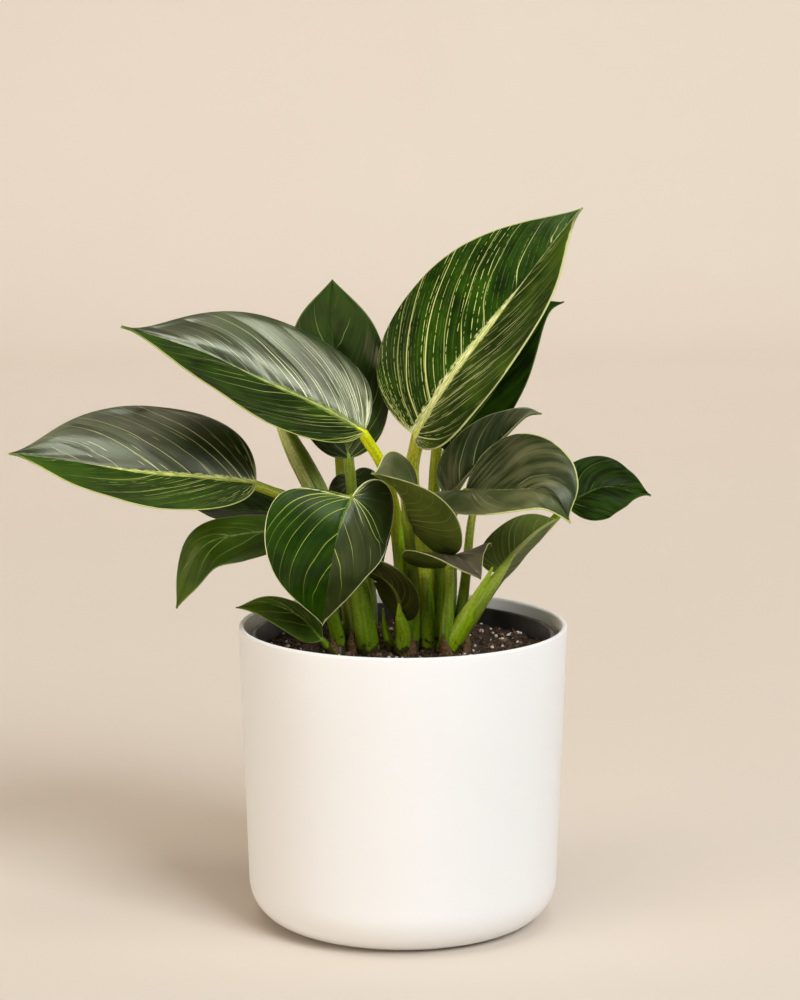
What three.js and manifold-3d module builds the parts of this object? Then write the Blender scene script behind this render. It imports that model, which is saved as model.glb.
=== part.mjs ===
// A potted philodendron birkin: a white outer pot, a dark nursery pot, potting mix,
// five shoots with their petioles, and the leaf blades that they carry.
// Millimetres, +Z up. The origin is the middle of the outer pot's flat underside.
import * as THREE from "three";
import { mergeVertices } from "three/addons/utils/BufferGeometryUtils.js";
import Module from "manifold-3d";

// ---------------------------------------------------------------- driving dimensions
const RIM_DIAMETER = 152; // outer pot, over the rim
const POT_HEIGHT = 140;
const POT_BASE_RADIUS = 72; // where the wall meets the rounded foot
const FOOT_RADIUS = 20;
const WALL = 2.4; // outer pot
const FLOOR = 3; // outer pot
const NURSERY_RIM_RADIUS = 70.6;
const NURSERY_TOP = 135.4; // its lip stands this high, just under the outer rim
const NURSERY_BASE_RADIUS = 52;
const NURSERY_WALL = 1.2;
const NURSERY_LIP = 2.2; // height of the turned-out lip
const DRAIN_HOLE_RADIUS = 4;
const DRAIN_HOLES = 6;
const DRAIN_CIRCLE = 38; // radius of the circle that the drain holes stand on
const MIX_TOP = 127; // mean level of the potting mix
const CLEARANCE = 0.3; // between pieces that touch
const BLADE = 0.8; // thickness of a leaf
const CROWN_DEPTH = 16; // how far a crown stands in the mix

// ---------------------------------------------------------------- the plant
// Each shoot: where its crown stands and the crown's radius.
const SHOOTS = {
  left: { at: [-30, -2], radius: 5 },
  centre_left: { at: [-18, 3], radius: 7.5 },
  centre: { at: [0.5, -2], radius: 6 },
  centre_right: { at: [14, 7], radius: 6.5 },
  right: { at: [23, -6.5], radius: 6 },
};

// Each leaf: its midrib from the petiole to the tip; the way that its upper face looks at the
// petiole; half widths left and right of the midrib; how far each half is folded up and curled, in
// degrees; how far its lobes reach behind the petiole, where it is widest and how full its tip is,
// as shares of its length or half width; its shoot, its petiole's path up from the crown, the
// petiole's radii along that path, and how far the petiole runs on under the blade as a keel.
const LEAVES = {
  leaf_top_right: {
    rib: [[5.5, 0, 228], [21, -6, 254], [45.5, -4, 286.5], [68.5, 4, 316], [82, 12, 331.5]],
    face: [-0.39, -0.85, 0.4], half: [39, 34], fold: [28, 34], curl: [-14, -10],
    lobe: [0, 0.02], widest: [0.38, 0.38], tip: [0.28, 0.15], wave: 0.8,
    shoot: "centre_right", path: [[12.8, 3, 128], [11, 3, 145], [9.5, 4, 169], [6, 5, 192], [4, 6, 210]],
    radii: [6, 5, 4.4, 3.6, 3.4, 3.3], keel: 0.3,
  },
  leaf_top_left: {
    rib: [[-17.5, -12, 231.5], [-40.5, -10, 244], [-65.5, -10, 255.5], [-90.5, -14, 268],
      [-126.5, -22, 281]],
    face: [0, -0.62, 0.8], half: [32, 33], fold: [18, 22], curl: [5, -26],
    lobe: [0, 0], widest: [0.36, 0.36], tip: [0.08, 0.08], wave: 0.8,
    shoot: "centre", path: [[0, 1, 127], [1, 3, 150], [-1.5, 2, 176.5], [-5, -2, 198], [-9, -6, 214]],
    radii: [4.5, 4.5, 4, 3.2, 2.7, 2.5], keel: 0.3,
  },
  leaf_left: {
    rib: [[-67, -10, 207.5], [-93, -12, 210.5], [-119.5, -14, 213], [-146.5, -18, 218], [-178, -24, 223.5]],
    face: [0, -0.62, 0.8], half: [33, 35], fold: [18, 24], curl: [5, -20],
    lobe: [0, 0], widest: [0.4, 0.4], tip: [0.14, 0.14], wave: 0.8,
    shoot: "centre_left",
    path: [[-20, 2, 128], [-24.5, 4, 150], [-31.5, 2, 174], [-40.5, -2, 190], [-54, -6, 200]],
    radii: [4.4, 4, 3.2, 2.6, 2.4, 2.3], keel: 0.3,
  },
  leaf_front: {
    rib: [[-23, -30, 204.5], [-28.5, -38, 191.5], [-33, -40, 170.5], [-36.5, -28, 144.5]],
    face: [0.15, -0.95, 0.3], half: [29, 33], fold: [-8, 4], curl: [-45, -10],
    lobe: [0.2, -0.04], widest: [0.22, 0.28], tip: [0.06, 0.14], wave: 0.5,
    shoot: "centre_left", path: [[-16, -4, 128], [-19, -6, 152], [-21.5, -12, 176], [-22.5, -20, 194]],
    radii: [6, 5.4, 4.6, 3, 2.5, 2], keel: 0,
  },
  leaf_top_back: {
    rib: [[-25, 10, 215.5], [-29, 14, 242.5], [-32.5, 18, 270], [-32.5, 16, 298]],
    face: [0.05, -0.95, 0.3], half: [22, 24], fold: [15, 15], curl: [0, 0],
    lobe: [0, 0], widest: [0.46, 0.46], tip: [0.5, 0.5], wave: 0.5,
    shoot: "centre_left", path: [[-17, 8, 127], [-20.5, 13.5, 148.5], [-23, 15, 186], [-24, 14, 203]],
    radii: [4, 3.6, 3.2, 2.7, 2.5], keel: 0.25,
  },
  leaf_right_back: {
    rib: [[20, 22, 217], [39.5, 28, 240.5], [54.5, 34, 263], [66, 34, 281], [75, 34, 286]],
    face: [-0.3, -0.9, 0.3], half: [26, 18], fold: [20, 25], curl: [0, 0],
    lobe: [0, 0], widest: [0.4, 0.22], tip: [0.1, 0.1], wave: 0.5,
    shoot: "centre_right", path: [[17.5, 12, 127], [20, 20, 156.5], [21, 25, 184], [20, 26, 203]],
    radii: [4, 4, 3, 2.5, 2.2], keel: 0.2,
  },
  leaf_folded: {
    rib: [[21.5, 4, 200], [34.5, 6, 213.5], [48.5, 8, 228], [57, 10, 235.5], [64, 12, 236.5]],
    face: [-0.52, -0.66, 0.62], half: [16, 14], fold: [42, 48], curl: [0, 0],
    lobe: [0.03, 0.03], widest: [0.35, 0.35], tip: [0.2, 0.2], wave: 0.3,
    shoot: "centre_right", path: [[18, 8, 127], [22, 9, 154], [22, 8, 178]],
    radii: [4, 3.6, 2.4, 2], keel: 0.2,
  },
  leaf_right: {
    rib: [[28.5, -14, 205], [44, -24, 206.5], [59.5, -32, 208], [68.5, -36, 204.5], [75.5, -38, 194]],
    face: [0, -0.62, 0.8], half: [26, 17], fold: [22, 10], curl: [10, -20],
    lobe: [0, 0.3], widest: [0.5, 0.3], tip: [0.05, 0.4], wave: 0.6,
    shoot: "centre_right", path: [[15.5, 2.5, 127], [18.5, 0, 155.5], [20.5, -4, 180], [24, -9, 197]],
    radii: [4.4, 4, 3.4, 2.4, 2.1], keel: 0.2,
  },
  leaf_curled: {
    rib: [[3.5, -17, 189.7], [-2, -25, 206.2], [-14, -33, 216.2]],
    face: [0.65, 0.45, 0.45], half: [33, 20], fold: [8, 72], curl: [0, 0],
    lobe: [0.35, 0.35], widest: [0.2, 0.2], tip: [0.3, 0.3], wave: 0.3,
    shoot: "centre", path: [[3.5, -2, 128], [4.5, -4, 151.5], [4, -8, 171]],
    radii: [4, 3.6, 2.8, 2.4], keel: 0.4,
  },
  leaf_far_right: {
    rib: [[75.5, 10, 194], [91, 14, 201], [104.5, 16, 200.5], [115.5, 16, 197.5]],
    face: [0.1, -0.66, 0.75], half: [18, 17], fold: [8, 8], curl: [-10, -20],
    lobe: [0, 0], widest: [0.36, 0.36], tip: [0.05, 0.05], wave: 0.5,
    shoot: "right", path: [[24, 0, 128], [34, 12, 143], [48, 20, 161], [64, 19, 178.5]],
    radii: [3.4, 3, 2.6, 2.3, 1.9], keel: 0.2,
  },
  leaf_low_right: {
    rib: [[44.5, -10, 167], [51.5, -4, 174], [61.5, 2, 182.5], [70.5, 4, 188]],
    face: [-0.23, 0.92, 0.06], half: [13, 15], fold: [45, 45], curl: [0, 0],
    lobe: [0.1, 0.1], widest: [0.35, 0.35], tip: [0.5, 0.5], wave: 0.4,
    shoot: "right", path: [[20, -6, 128.5], [27, -9, 140.5], [37, -13, 155.5]],
    radii: [5, 5, 5, 3.6, 2.2], keel: 0.3,
  },
  leaf_small_centre: {
    rib: [[21.5, -18, 171.5], [22, -30, 177], [27, -40, 177], [35, -46, 170]],
    face: [0.15, -0.2, 0.95], half: [20, 22], fold: [30, -5], curl: [0, 0],
    lobe: [0.1, 0.3], widest: [0.2, 0.2], tip: [0.3, 0.3], wave: 0.3,
    shoot: "right", path: [[20.5, -9, 129], [20.5, -11, 148], [21, -14, 162]],
    radii: [4, 3.4, 2.4, 2], keel: 0.1,
  },
  leaf_low_left: {
    rib: [[-51, -8, 185], [-74.5, -10, 183.5], [-93, -12, 176.5], [-104.5, -8, 148.5]],
    face: [-0.2, -0.7, 0.7], half: [16, 11], fold: [10, 10], curl: [-10, -20],
    lobe: [0, 0], widest: [0.4, 0.4], tip: [0.3, 0.3], wave: 0.4,
    shoot: "left", path: [[-29, 1, 128.5], [-34, 0, 148.5], [-40, -4, 168]],
    radii: [3.6, 3.4, 2.7, 2.1], keel: 0.2,
  },
  leaf_dark_left: {
    rib: [[-48, 22, 186.5], [-71.5, 26, 188.5], [-100.5, 30, 189.5]],
    face: [0, -0.35, 0.9], half: [18, 18], fold: [10, 10], curl: [0, 0],
    lobe: [0, 0], widest: [0.4, 0.4], tip: [0.2, 0.2], wave: 0.4,
    shoot: "left", path: [[-30, 4, 128], [-34, 17, 150], [-39, 22, 172]],
    radii: [3, 3, 2.5, 2], keel: 0.2,
  },
  leaf_over_rim: {
    rib: [[-37, -12, 134.5], [-47.5, -12, 145.5], [-62, -10, 151], [-77, -8, 149]],
    face: [-0.1, -0.75, 0.65], half: [12, 5], fold: [25, 20], curl: [0, 0],
    lobe: [-0.02, -0.02], widest: [0.35, 0.35], tip: [0.2, 0.2], wave: 0.2,
    shoot: "left", path: [[-32.5, -7, 127]],
    radii: [3, 2.6, 1.8], keel: 0.3,
  },
  leaf_arched: {
    rib: [[-0.5, -14, 147], [-3, -21, 159], [-10.5, -23, 167], [-23, -17, 170]],
    face: [0.4, 0.7, 0.5], half: [10, 10], fold: [10, 20], curl: [0, 0],
    lobe: [0.1, 0.1], widest: [0.4, 0.4], tip: [0.2, 0.2], wave: 0.2,
    shoot: "centre", path: [[-1, -8, 128], [0.5, -11, 137]],
    radii: [4, 3.6, 2.2], keel: 0.2,
  },
  leaf_behind_front: {
    rib: [[-23.5, 26, 202.5], [-18, 25, 184], [-9, 27, 163.5]],
    face: [0.1, -0.95, 0.2], half: [15, 15], fold: [10, 10], curl: [0, 0],
    lobe: [0.12, 0.12], widest: [0.3, 0.3], tip: [0.2, 0.2], wave: 0.3,
    shoot: "centre_left", path: [[-15, 11, 127], [-16, 28, 156], [-20, 33, 184]],
    radii: [3.4, 3, 2.4, 1.9], keel: 0,
  },
  leaf_back_left: {
    rib: [[-30.5, 42, 227], [-49, 56, 239], [-78, 70, 248]],
    face: [-0.2, -0.1, 0.95], half: [24, 24], fold: [15, 15], curl: [0, 0],
    lobe: [0, 0], widest: [0.38, 0.38], tip: [0.2, 0.2], wave: 0.8,
    shoot: "centre_left", path: [[-20, 9, 127], [-27, 24, 160], [-29, 34, 200]],
    radii: [3.6, 3.2, 2.6, 2.2], keel: 0.25,
  },
  leaf_back_right: {
    rib: [[17.5, 40, 234], [32, 54, 256], [46.5, 72, 277.5]],
    face: [-0.1, -0.5, 0.85], half: [24, 24], fold: [15, 15], curl: [0, 0],
    lobe: [0, 0], widest: [0.38, 0.38], tip: [0.2, 0.2], wave: 0.8,
    shoot: "centre_right", path: [[13, 13, 127], [14, 28, 165], [15, 36, 205]],
    radii: [3.8, 3.4, 2.8, 2.3], keel: 0.25,
  },
  leaf_back_low: {
    rib: [[35.5, 36, 195.5], [53.5, 50, 200], [73.5, 62, 200]],
    face: [0.1, -0.2, 0.95], half: [15, 15], fold: [15, 15], curl: [0, 0],
    lobe: [0, 0], widest: [0.38, 0.38], tip: [0.2, 0.2], wave: 0.5,
    shoot: "right", path: [[25, 0, 128], [29, 18, 156], [32, 29, 182]],
    radii: [3, 2.8, 2.2, 1.8], keel: 0.25,
  },
};

// Pointed sheaths that clasp the petiole bases: shoot, path up to the tip, radii along it.
const SHEATHS = [
  {
    shoot: "centre",
    path: [[0.3, 0, 127], [0.8, 0, 150], [-0.5, -2, 172], [-2.5, -4, 196]],
    radii: [4.9, 4.4, 3.6, 0.5],
  },
  { shoot: "centre", path: [[-5, -3, 127], [-8, -4, 137], [-9.3, -5, 148]], radii: [2.8, 2, 0.4] },
  { shoot: "centre_right", path: [[12.8, 3, 127], [12, 1, 145], [12, 0, 163]], radii: [6.2, 4.8, 0.5] },
  { shoot: "right", path: [[21, -8, 128], [30, -12, 146], [41, -15.5, 169.5]], radii: [4.6, 4.2, 0.5] },
];

// The furled new leaf: a slim spear that stands on a stub of the centre left shoot.
const SPEAR = {
  shoot: "centre_left",
  stub: [[-22, 6, 128], [-26.5, 11.5, 151]],
  path: [[-29, 12.6, 163], [-34, 13, 181.5], [-41, 12.5, 201], [-52.5, 12, 224], [-62, 12, 247]],
  radii: [3.2, 3.9, 5, 5.8, 5.4, 3.6, 0.5],
};

// ---------------------------------------------------------------- solids
const wasm = await Module();
wasm.setup();

const vec = (p) => new THREE.Vector3(...p);
const radians = THREE.MathUtils.degToRad;
const clamp01 = (v) => Math.min(Math.max(v, 0), 1);

// A closed triangle mesh as a solid, turned the right way out.
function solidFromTriangles(positions, triangles) {
  let volume = 0;
  const corner = (k) => new THREE.Vector3().fromArray(positions, 3 * k);
  for (const [a, b, c] of triangles) volume += corner(a).dot(corner(b).cross(corner(c)));
  const indices = triangles.flatMap(([a, b, c]) => (volume < 0 ? [a, c, b] : [a, b, c]));
  return new wasm.Manifold(new wasm.Mesh({
    numProp: 3,
    vertProperties: new Float32Array(positions),
    triVerts: new Uint32Array(indices),
  }));
}

// A three.js geometry as a solid.
function solidFromGeometry(geometry) {
  geometry.deleteAttribute("normal");
  geometry.deleteAttribute("uv");
  const merged = mergeVertices(geometry, 1e-4);
  return new wasm.Manifold(new wasm.Mesh({
    numProp: 3,
    vertProperties: merged.attributes.position.array,
    triVerts: new Uint32Array(merged.index.array),
  }));
}

// A profile of [radius, height] turned round the upright axis.
function turned(profile, segments) {
  const lathe = new THREE.LatheGeometry(profile.map(([x, y]) => new THREE.Vector2(x, y)), segments);
  return solidFromGeometry(lathe.rotateX(Math.PI / 2));
}

// A solid as a three.js geometry.
function geometryFromSolid(solid) {
  const mesh = solid.getMesh();
  return new THREE.BufferGeometry()
    .setAttribute("position", new THREE.BufferAttribute(mesh.vertProperties, 3))
    .setIndex(new THREE.BufferAttribute(mesh.triVerts, 1));
}

// ---------------------------------------------------------------- curves
const SPAN_STEPS = 12; // straight pieces between two points of a smooth line

// A smooth line through the points, as steps + 1 points at equal distances.
function smoothLine(points, steps) {
  const knots = points.map(vec);
  const before = knots[0].clone().multiplyScalar(2).sub(knots[1]);
  const after = knots.at(-1).clone().multiplyScalar(2).sub(knots.at(-2));
  const padded = [before, ...knots, after];
  const fine = [];
  for (let i = 1; i < padded.length - 2; i++) {
    const around = padded.slice(i - 1, i + 3);
    for (let k = 0; k < SPAN_STEPS; k++) fine.push(splinePoint(around, k / SPAN_STEPS));
  }
  fine.push(knots.at(-1).clone());
  const run = [0];
  for (let i = 1; i < fine.length; i++) run.push(run[i - 1] + fine[i].distanceTo(fine[i - 1]));
  const length = run.at(-1);
  const line = [];
  for (let k = 0, i = 0; k <= steps; k++) {
    const at = (length * k) / steps;
    while (i < fine.length - 2 && run[i + 1] < at) i++;
    const share = clamp01((at - run[i]) / (run[i + 1] - run[i]));
    line.push(fine[i].clone().lerp(fine[i + 1], share));
  }
  return { line, length };
}

// A uniform Catmull-Rom spline between the middle two of four points.
function splinePoint([a, b, c, d], t) {
  return new THREE.Vector3()
    .addScaledVector(a, 0.5 * (-t + 2 * t * t - t ** 3))
    .addScaledVector(b, 0.5 * (2 - 5 * t * t + 3 * t ** 3))
    .addScaledVector(c, 0.5 * (t + 4 * t * t - 3 * t ** 3))
    .addScaledVector(d, 0.5 * (-t * t + t ** 3));
}

// Along a line: its direction, the way its face looks (carried on from the first) and its side.
function framesAlong(line, face) {
  let normal = vec(face);
  return line.map((point, i) => {
    const next = line[Math.min(i + 1, line.length - 1)];
    const tangent = next.clone().sub(line[Math.max(i - 1, 0)]).normalize();
    normal = normal.clone().addScaledVector(tangent, -normal.dot(tangent)).normalize();
    return { point, tangent, normal, side: tangent.clone().cross(normal) };
  });
}

// The frame at a share of the way along.
function frameAt(frames, share) {
  const at = clamp01(share) * (frames.length - 1);
  const i = Math.min(Math.floor(at), frames.length - 2);
  const mix = (key) => frames[i][key].clone().lerp(frames[i + 1][key], at - i);
  return { point: mix("point"), tangent: mix("tangent"), normal: mix("normal"), side: mix("side") };
}

// The value at a share of the way along a list of evenly spaced values.
function valueAt(values, share) {
  const at = clamp01(share) * (values.length - 1);
  const i = Math.min(Math.floor(at), values.length - 2);
  return values[i] + (values[i + 1] - values[i]) * (at - i);
}

// ---------------------------------------------------------------- leaf blades
const RIB_STEPS = 48;
const LOBE_SHARE = 0.36; // the share of the veins that end on the lobe, before the widest point
const FAN_SHARE = 0.22; // the share of the veins that fan out from the petiole itself
const LARGE_LEAF = 50; // leaves wider than this get more triangles
const WAVES = 2.5; // ripples along the edge of a half blade

// How far along the midrib side vein s leaves it.
const veinRoot = (s) => clamp01((s - FAN_SHARE) / (1 - FAN_SHARE)) ** 1.7;

function cubic(points, t) {
  const u = 1 - t;
  const weights = [u ** 3, 3 * u * u * t, 3 * u * t * t, t ** 3];
  return [0, 1].map((k) => weights.reduce((sum, w, i) => sum + w * points[i][k], 0));
}

// The edge of one half of a flat blade, from the notch at the petiole (s = 0) round its lobe to
// the tip (s = 1). Across in half widths, along in lengths.
function edgePoint(s, lobe, widest, tip) {
  if (s < LOBE_SHARE) {
    return cubic([[0, 0], [0.1, -1.75 * lobe], [1, -1.25 * lobe], [1, widest]], s / LOBE_SHARE);
  }
  const t = (s - LOBE_SHARE) / (1 - LOBE_SHARE);
  return cubic([[1, widest], [1, widest + 0.36], [tip, 0.86], [0, 1]], t);
}

// A point t of the way out along side vein s of a flat half blade.
function veinPoint(leaf, half, s, t) {
  const edge = edgePoint(s, leaf.lobe[half], leaf.widest[half], leaf.tip[half]);
  const root = veinRoot(s);
  const knee = [0.6 * edge[0], root + 0.36 * (edge[1] - root)];
  const u = 1 - t;
  return [2 * u * t * knee[0] + t * t * edge[0], u * u * root + 2 * u * t * knee[1] + t * t * edge[1]];
}

// The same point on the bent blade, with the way its upper face looks there.
function bladePoint(leaf, frames, length, half, s, t) {
  const [x, y] = veinPoint(leaf, half, s, t);
  const sign = half ? 1 : -1;
  const frame = frameAt(frames, y);
  const centre = frame.point.addScaledVector(frames[0].tangent, Math.min(y, 0) * length);
  const width = leaf.half[half];
  const fold = radians(leaf.fold[half]);
  const turn = radians(leaf.curl[half]) / width;
  const reach = x * width;
  const end = fold + turn * reach;
  let out = reach * Math.cos(fold);
  let up = reach * Math.sin(fold);
  if (Math.abs(turn) > 1e-6) {
    out = (Math.sin(end) - Math.sin(fold)) / turn;
    up = (Math.cos(fold) - Math.cos(end)) / turn;
  }
  const across = frame.side.multiplyScalar(sign);
  const normal = frame.normal.clone().multiplyScalar(Math.cos(end)).addScaledVector(across, -Math.sin(end));
  const ripple = leaf.wave * x * x * Math.sin(2 * Math.PI * WAVES * s + half);
  const point = centre.addScaledVector(across, out).addScaledVector(frame.normal, up);
  return { point: point.addScaledVector(normal, ripple), normal };
}

// A blade: an upper and a lower face over the same triangles, closed round the edge.
function bladeSolid(leaf, veins, cells) {
  const { line, length } = smoothLine(leaf.rib, RIB_STEPS);
  const frames = framesAlong(line, leaf.face);
  const meanFold = (Math.abs(leaf.fold[0]) + Math.abs(leaf.fold[1])) / 2;
  const ribThickness = BLADE / Math.cos(radians(meanFold));
  const positions = [];
  const ids = new Map();
  const triangles = [];

  // The two halves share the midrib; the veins of the fan share their root, and all meet at the tip.
  function cornerName(half, i, j) {
    if (i === veins) return "tip";
    if (i === 0 || (j === 0 && i / veins <= FAN_SHARE)) return "root";
    return j === 0 ? "rib" + i : [half, i, j].join();
  }

  function corner(half, i, j, upper) {
    const name = cornerName(half, i, j);
    const id = name + upper;
    if (!ids.has(id)) {
      const s = name === "root" ? 0 : i / veins;
      const onRib = j === 0 || name === "root" || name === "tip";
      const { point, normal } = bladePoint(leaf, frames, length, half, s, onRib && s < 1 ? 0 : j / cells);
      if (onRib) normal.copy(frameAt(frames, veinRoot(s)).normal);
      const lift = (onRib ? ribThickness : BLADE) / 2;
      point.addScaledVector(normal, upper ? lift : -lift);
      ids.set(id, positions.length / 3);
      positions.push(point.x, point.y, point.z);
    }
    return ids.get(id);
  }

  // A four-cornered cell as two triangles, less where corners fall together.
  function addCell(corners, flip) {
    const [a, b, c, d] = flip ? [...corners].reverse() : corners;
    const split = flip ? [[a, b, d], [b, c, d]] : [[a, b, c], [a, c, d]];
    for (const triangle of split) {
      if (new Set(triangle).size === 3) triangles.push(triangle);
    }
  }

  for (const half of [0, 1]) {
    for (let i = 0; i < veins; i++) {
      for (let j = 0; j < cells; j++) {
        for (const upper of [true, false]) {
          const cell = [[i, j], [i + 1, j], [i + 1, j + 1], [i, j + 1]];
          addCell(cell.map(([a, b]) => corner(half, a, b, upper)), (half === 1) === upper);
        }
      }
      const rim = [[i, true], [i + 1, true], [i + 1, false], [i, false]];
      addCell(rim.map(([a, upper]) => corner(half, a, cells, upper)), half === 1);
    }
  }
  return solidFromTriangles(positions, triangles);
}

// ---------------------------------------------------------------- petioles and crowns
const SIDES = 7; // of every petiole
const KEEL_END_RADIUS = 0.6;
const HEART_DEPTH = 6; // how far under the mix's surface the petioles start in their crown
const CROWN_RISE = 3; // how far a crown stands out of the mix

// A rod along a line with a radius at each point, closed at both ends.
function rodSolid(line, radii, grow = 0) {
  const frames = framesAlong(line, [0.3, -1, 0.2]);
  const positions = [];
  const triangles = [];
  frames.forEach(({ point, normal, side }, i) => {
    for (let k = 0; k < SIDES; k++) {
      const angle = (2 * Math.PI * k) / SIDES;
      const p = point.clone()
        .addScaledVector(side, (radii[i] + grow) * Math.cos(angle))
        .addScaledVector(normal, (radii[i] + grow) * Math.sin(angle));
      positions.push(p.x, p.y, p.z);
    }
  });
  const last = line.length - 1;
  for (let i = 0; i < last; i++) {
    for (let k = 0; k < SIDES; k++) {
      const [a, b] = [i * SIDES + k, i * SIDES + ((k + 1) % SIDES)];
      triangles.push([a, b, b + SIDES], [a, b + SIDES, a + SIDES]);
    }
  }
  for (let k = 1; k < SIDES - 1; k++) {
    triangles.push([0, k + 1, k], [last * SIDES, last * SIDES + k, last * SIDES + k + 1]);
  }
  return solidFromTriangles(positions, triangles);
}

// The point inside a shoot's crown where its petioles start.
const crownHeart = (shoot) => [...SHOOTS[shoot].at, MIX_TOP - HEART_DEPTH];

// A petiole from its crown to the blade, with its keel on under the midrib.
function petioleSolid(leaf, grow) {
  const { line } = smoothLine(leaf.rib, RIB_STEPS);
  const frames = framesAlong(line, leaf.face);
  const lastRadius = leaf.radii.at(-1);
  const halfBlade = BLADE / 2 / Math.cos(radians(Math.max(...leaf.fold.map(Math.abs))));
  const under = (share, radius) => {
    const frame = frameAt(frames, share);
    const away = halfBlade + CLEARANCE + radius;
    return frame.point.addScaledVector(frame.normal, -away).toArray();
  };
  const path = [crownHeart(leaf.shoot), ...leaf.path, under(0, lastRadius)];
  const stem = smoothLine(path, 3 + 2 * leaf.path.length).line;
  const stemSteps = stem.length - 1;
  const radii = stem.map((_, i) => valueAt(leaf.radii, i / stemSteps));
  const keelSteps = leaf.keel > 0 ? 2 : 0;
  for (let k = 1; k <= keelSteps; k++) {
    const radius = THREE.MathUtils.lerp(lastRadius, KEEL_END_RADIUS, k / keelSteps);
    stem.push(vec(under((leaf.keel * k) / keelSteps, radius)));
    radii.push(radius);
  }
  return rodSolid(stem, radii, grow);
}

// A sheath or stub from its crown along a path.
function clasperSolid({ shoot, path, radii }, grow) {
  const { line } = smoothLine([crownHeart(shoot), ...path], 2 * path.length + 1);
  return rodSolid(line, line.map((_, i) => valueAt(radii, i / (line.length - 1))), grow);
}

// The short crown that a shoot's petioles grow out of, from its foot in the mix to just above it.
function crownSolid({ at, radius }, grow) {
  const [foot, top] = [MIX_TOP - CROWN_DEPTH - grow, MIX_TOP + CROWN_RISE];
  const r = radius + grow;
  return turned([[0, foot], [0.8 * r, foot], [r, MIX_TOP - 2], [0.6 * r, top], [0, top]], 10)
    .translate([at[0], at[1], 0]);
}

// A whole shoot: crown, petioles, sheaths and stubs in one body.
function shootSolid(name, grow = 0) {
  let shoot = crownSolid(SHOOTS[name], grow);
  for (const leaf of Object.values(LEAVES)) {
    if (leaf.shoot === name) shoot = shoot.add(petioleSolid(leaf, grow));
  }
  for (const sheath of SHEATHS) {
    if (sheath.shoot === name) shoot = shoot.add(clasperSolid(sheath, grow));
  }
  if (SPEAR.shoot === name) {
    shoot = shoot.add(clasperSolid({ shoot: name, path: SPEAR.stub, radii: [4, 3.8, 3.4] }, grow));
  }
  return shoot;
}

// The furled leaf, from just above its stub to its tip.
function spearSolid() {
  const foot = vec(SPEAR.stub.at(-1));
  const way = vec(SPEAR.path[0]).sub(foot).normalize();
  const start = foot.addScaledVector(way, 2 * CLEARANCE).toArray();
  const { line } = smoothLine([start, ...SPEAR.path], 14);
  return rodSolid(line, line.map((_, i) => valueAt(SPEAR.radii, i / (line.length - 1))));
}

// ---------------------------------------------------------------- pots and potting mix
const POT_SEGMENTS = 40;

// Points of a quarter round from one angle to another, in degrees.
function arc(cx, cy, radius, from, to, steps) {
  return Array.from({ length: steps + 1 }, (_, k) => {
    const angle = radians(from + ((to - from) * k) / steps);
    return [cx + radius * Math.cos(angle), cy + radius * Math.sin(angle)];
  });
}

function outerPotSolid() {
  const rim = RIM_DIAMETER / 2;
  const lip = WALL / 2;
  const foot = POT_BASE_RADIUS - FOOT_RADIUS;
  const inside = FOOT_RADIUS - WALL;
  return turned([
    [0, 0],
    ...arc(foot, FOOT_RADIUS, FOOT_RADIUS, -90, 0, 4),
    ...arc(rim - lip, POT_HEIGHT - lip, lip, 0, 180, 4),
    ...arc(foot, FLOOR + inside, inside, 0, -90, 3),
    [0, FLOOR],
  ], POT_SEGMENTS);
}

const NURSERY_FLOOR = FLOOR + CLEARANCE;
const nurseryRadiusAt = (z) => THREE.MathUtils.mapLinear(
  z, NURSERY_FLOOR, NURSERY_TOP - NURSERY_LIP, NURSERY_BASE_RADIUS, NURSERY_RIM_RADIUS - NURSERY_LIP / 2);

function nurseryPotSolid() {
  const under = NURSERY_TOP - NURSERY_LIP;
  const top = nurseryRadiusAt(under);
  let pot = turned([
    [0, NURSERY_FLOOR],
    [NURSERY_BASE_RADIUS, NURSERY_FLOOR],
    [top, under],
    [NURSERY_RIM_RADIUS, under],
    [NURSERY_RIM_RADIUS, NURSERY_TOP - 0.4],
    [NURSERY_RIM_RADIUS - 0.5, NURSERY_TOP],
    [top - NURSERY_WALL, NURSERY_TOP],
    [NURSERY_BASE_RADIUS - NURSERY_WALL, NURSERY_FLOOR + NURSERY_WALL],
    [0, NURSERY_FLOOR + NURSERY_WALL],
  ], POT_SEGMENTS);
  for (let k = 0; k < DRAIN_HOLES; k++) {
    const angle = (2 * Math.PI * k) / DRAIN_HOLES;
    const drill = new THREE.CylinderGeometry(DRAIN_HOLE_RADIUS, DRAIN_HOLE_RADIUS, 3 * NURSERY_WALL, 12);
    drill.rotateX(Math.PI / 2);
    drill.translate(DRAIN_CIRCLE * Math.cos(angle), DRAIN_CIRCLE * Math.sin(angle), NURSERY_FLOOR);
    pot = pot.subtract(solidFromGeometry(drill));
  }
  return pot;
}

// Broad shapes of the mix's surface: middle, height and spread of each.
const MIX_MOUNDS = [
  { at: [42, -22], height: 2.2, spread: 22 },
  { at: [-48, -8], height: -2, spread: 17 },
];

// The lumpy surface of the mix: clods from crossed waves on top of its mounds and hollows.
function mixHeight(x, y) {
  let z = MIX_TOP + Math.sin(x / 4.1 + 1.3) * Math.sin(y / 4.7 + 0.6);
  z += 0.7 * Math.sin(x / 2.7 - y / 3.6 + 2);
  for (const { at, height, spread } of MIX_MOUNDS) {
    z += height * Math.exp(-((x - at[0]) ** 2 + (y - at[1]) ** 2) / spread ** 2);
  }
  return z;
}

const MIX_LOWEST = MIX_TOP - 4; // no hollow at the wall is lower

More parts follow.
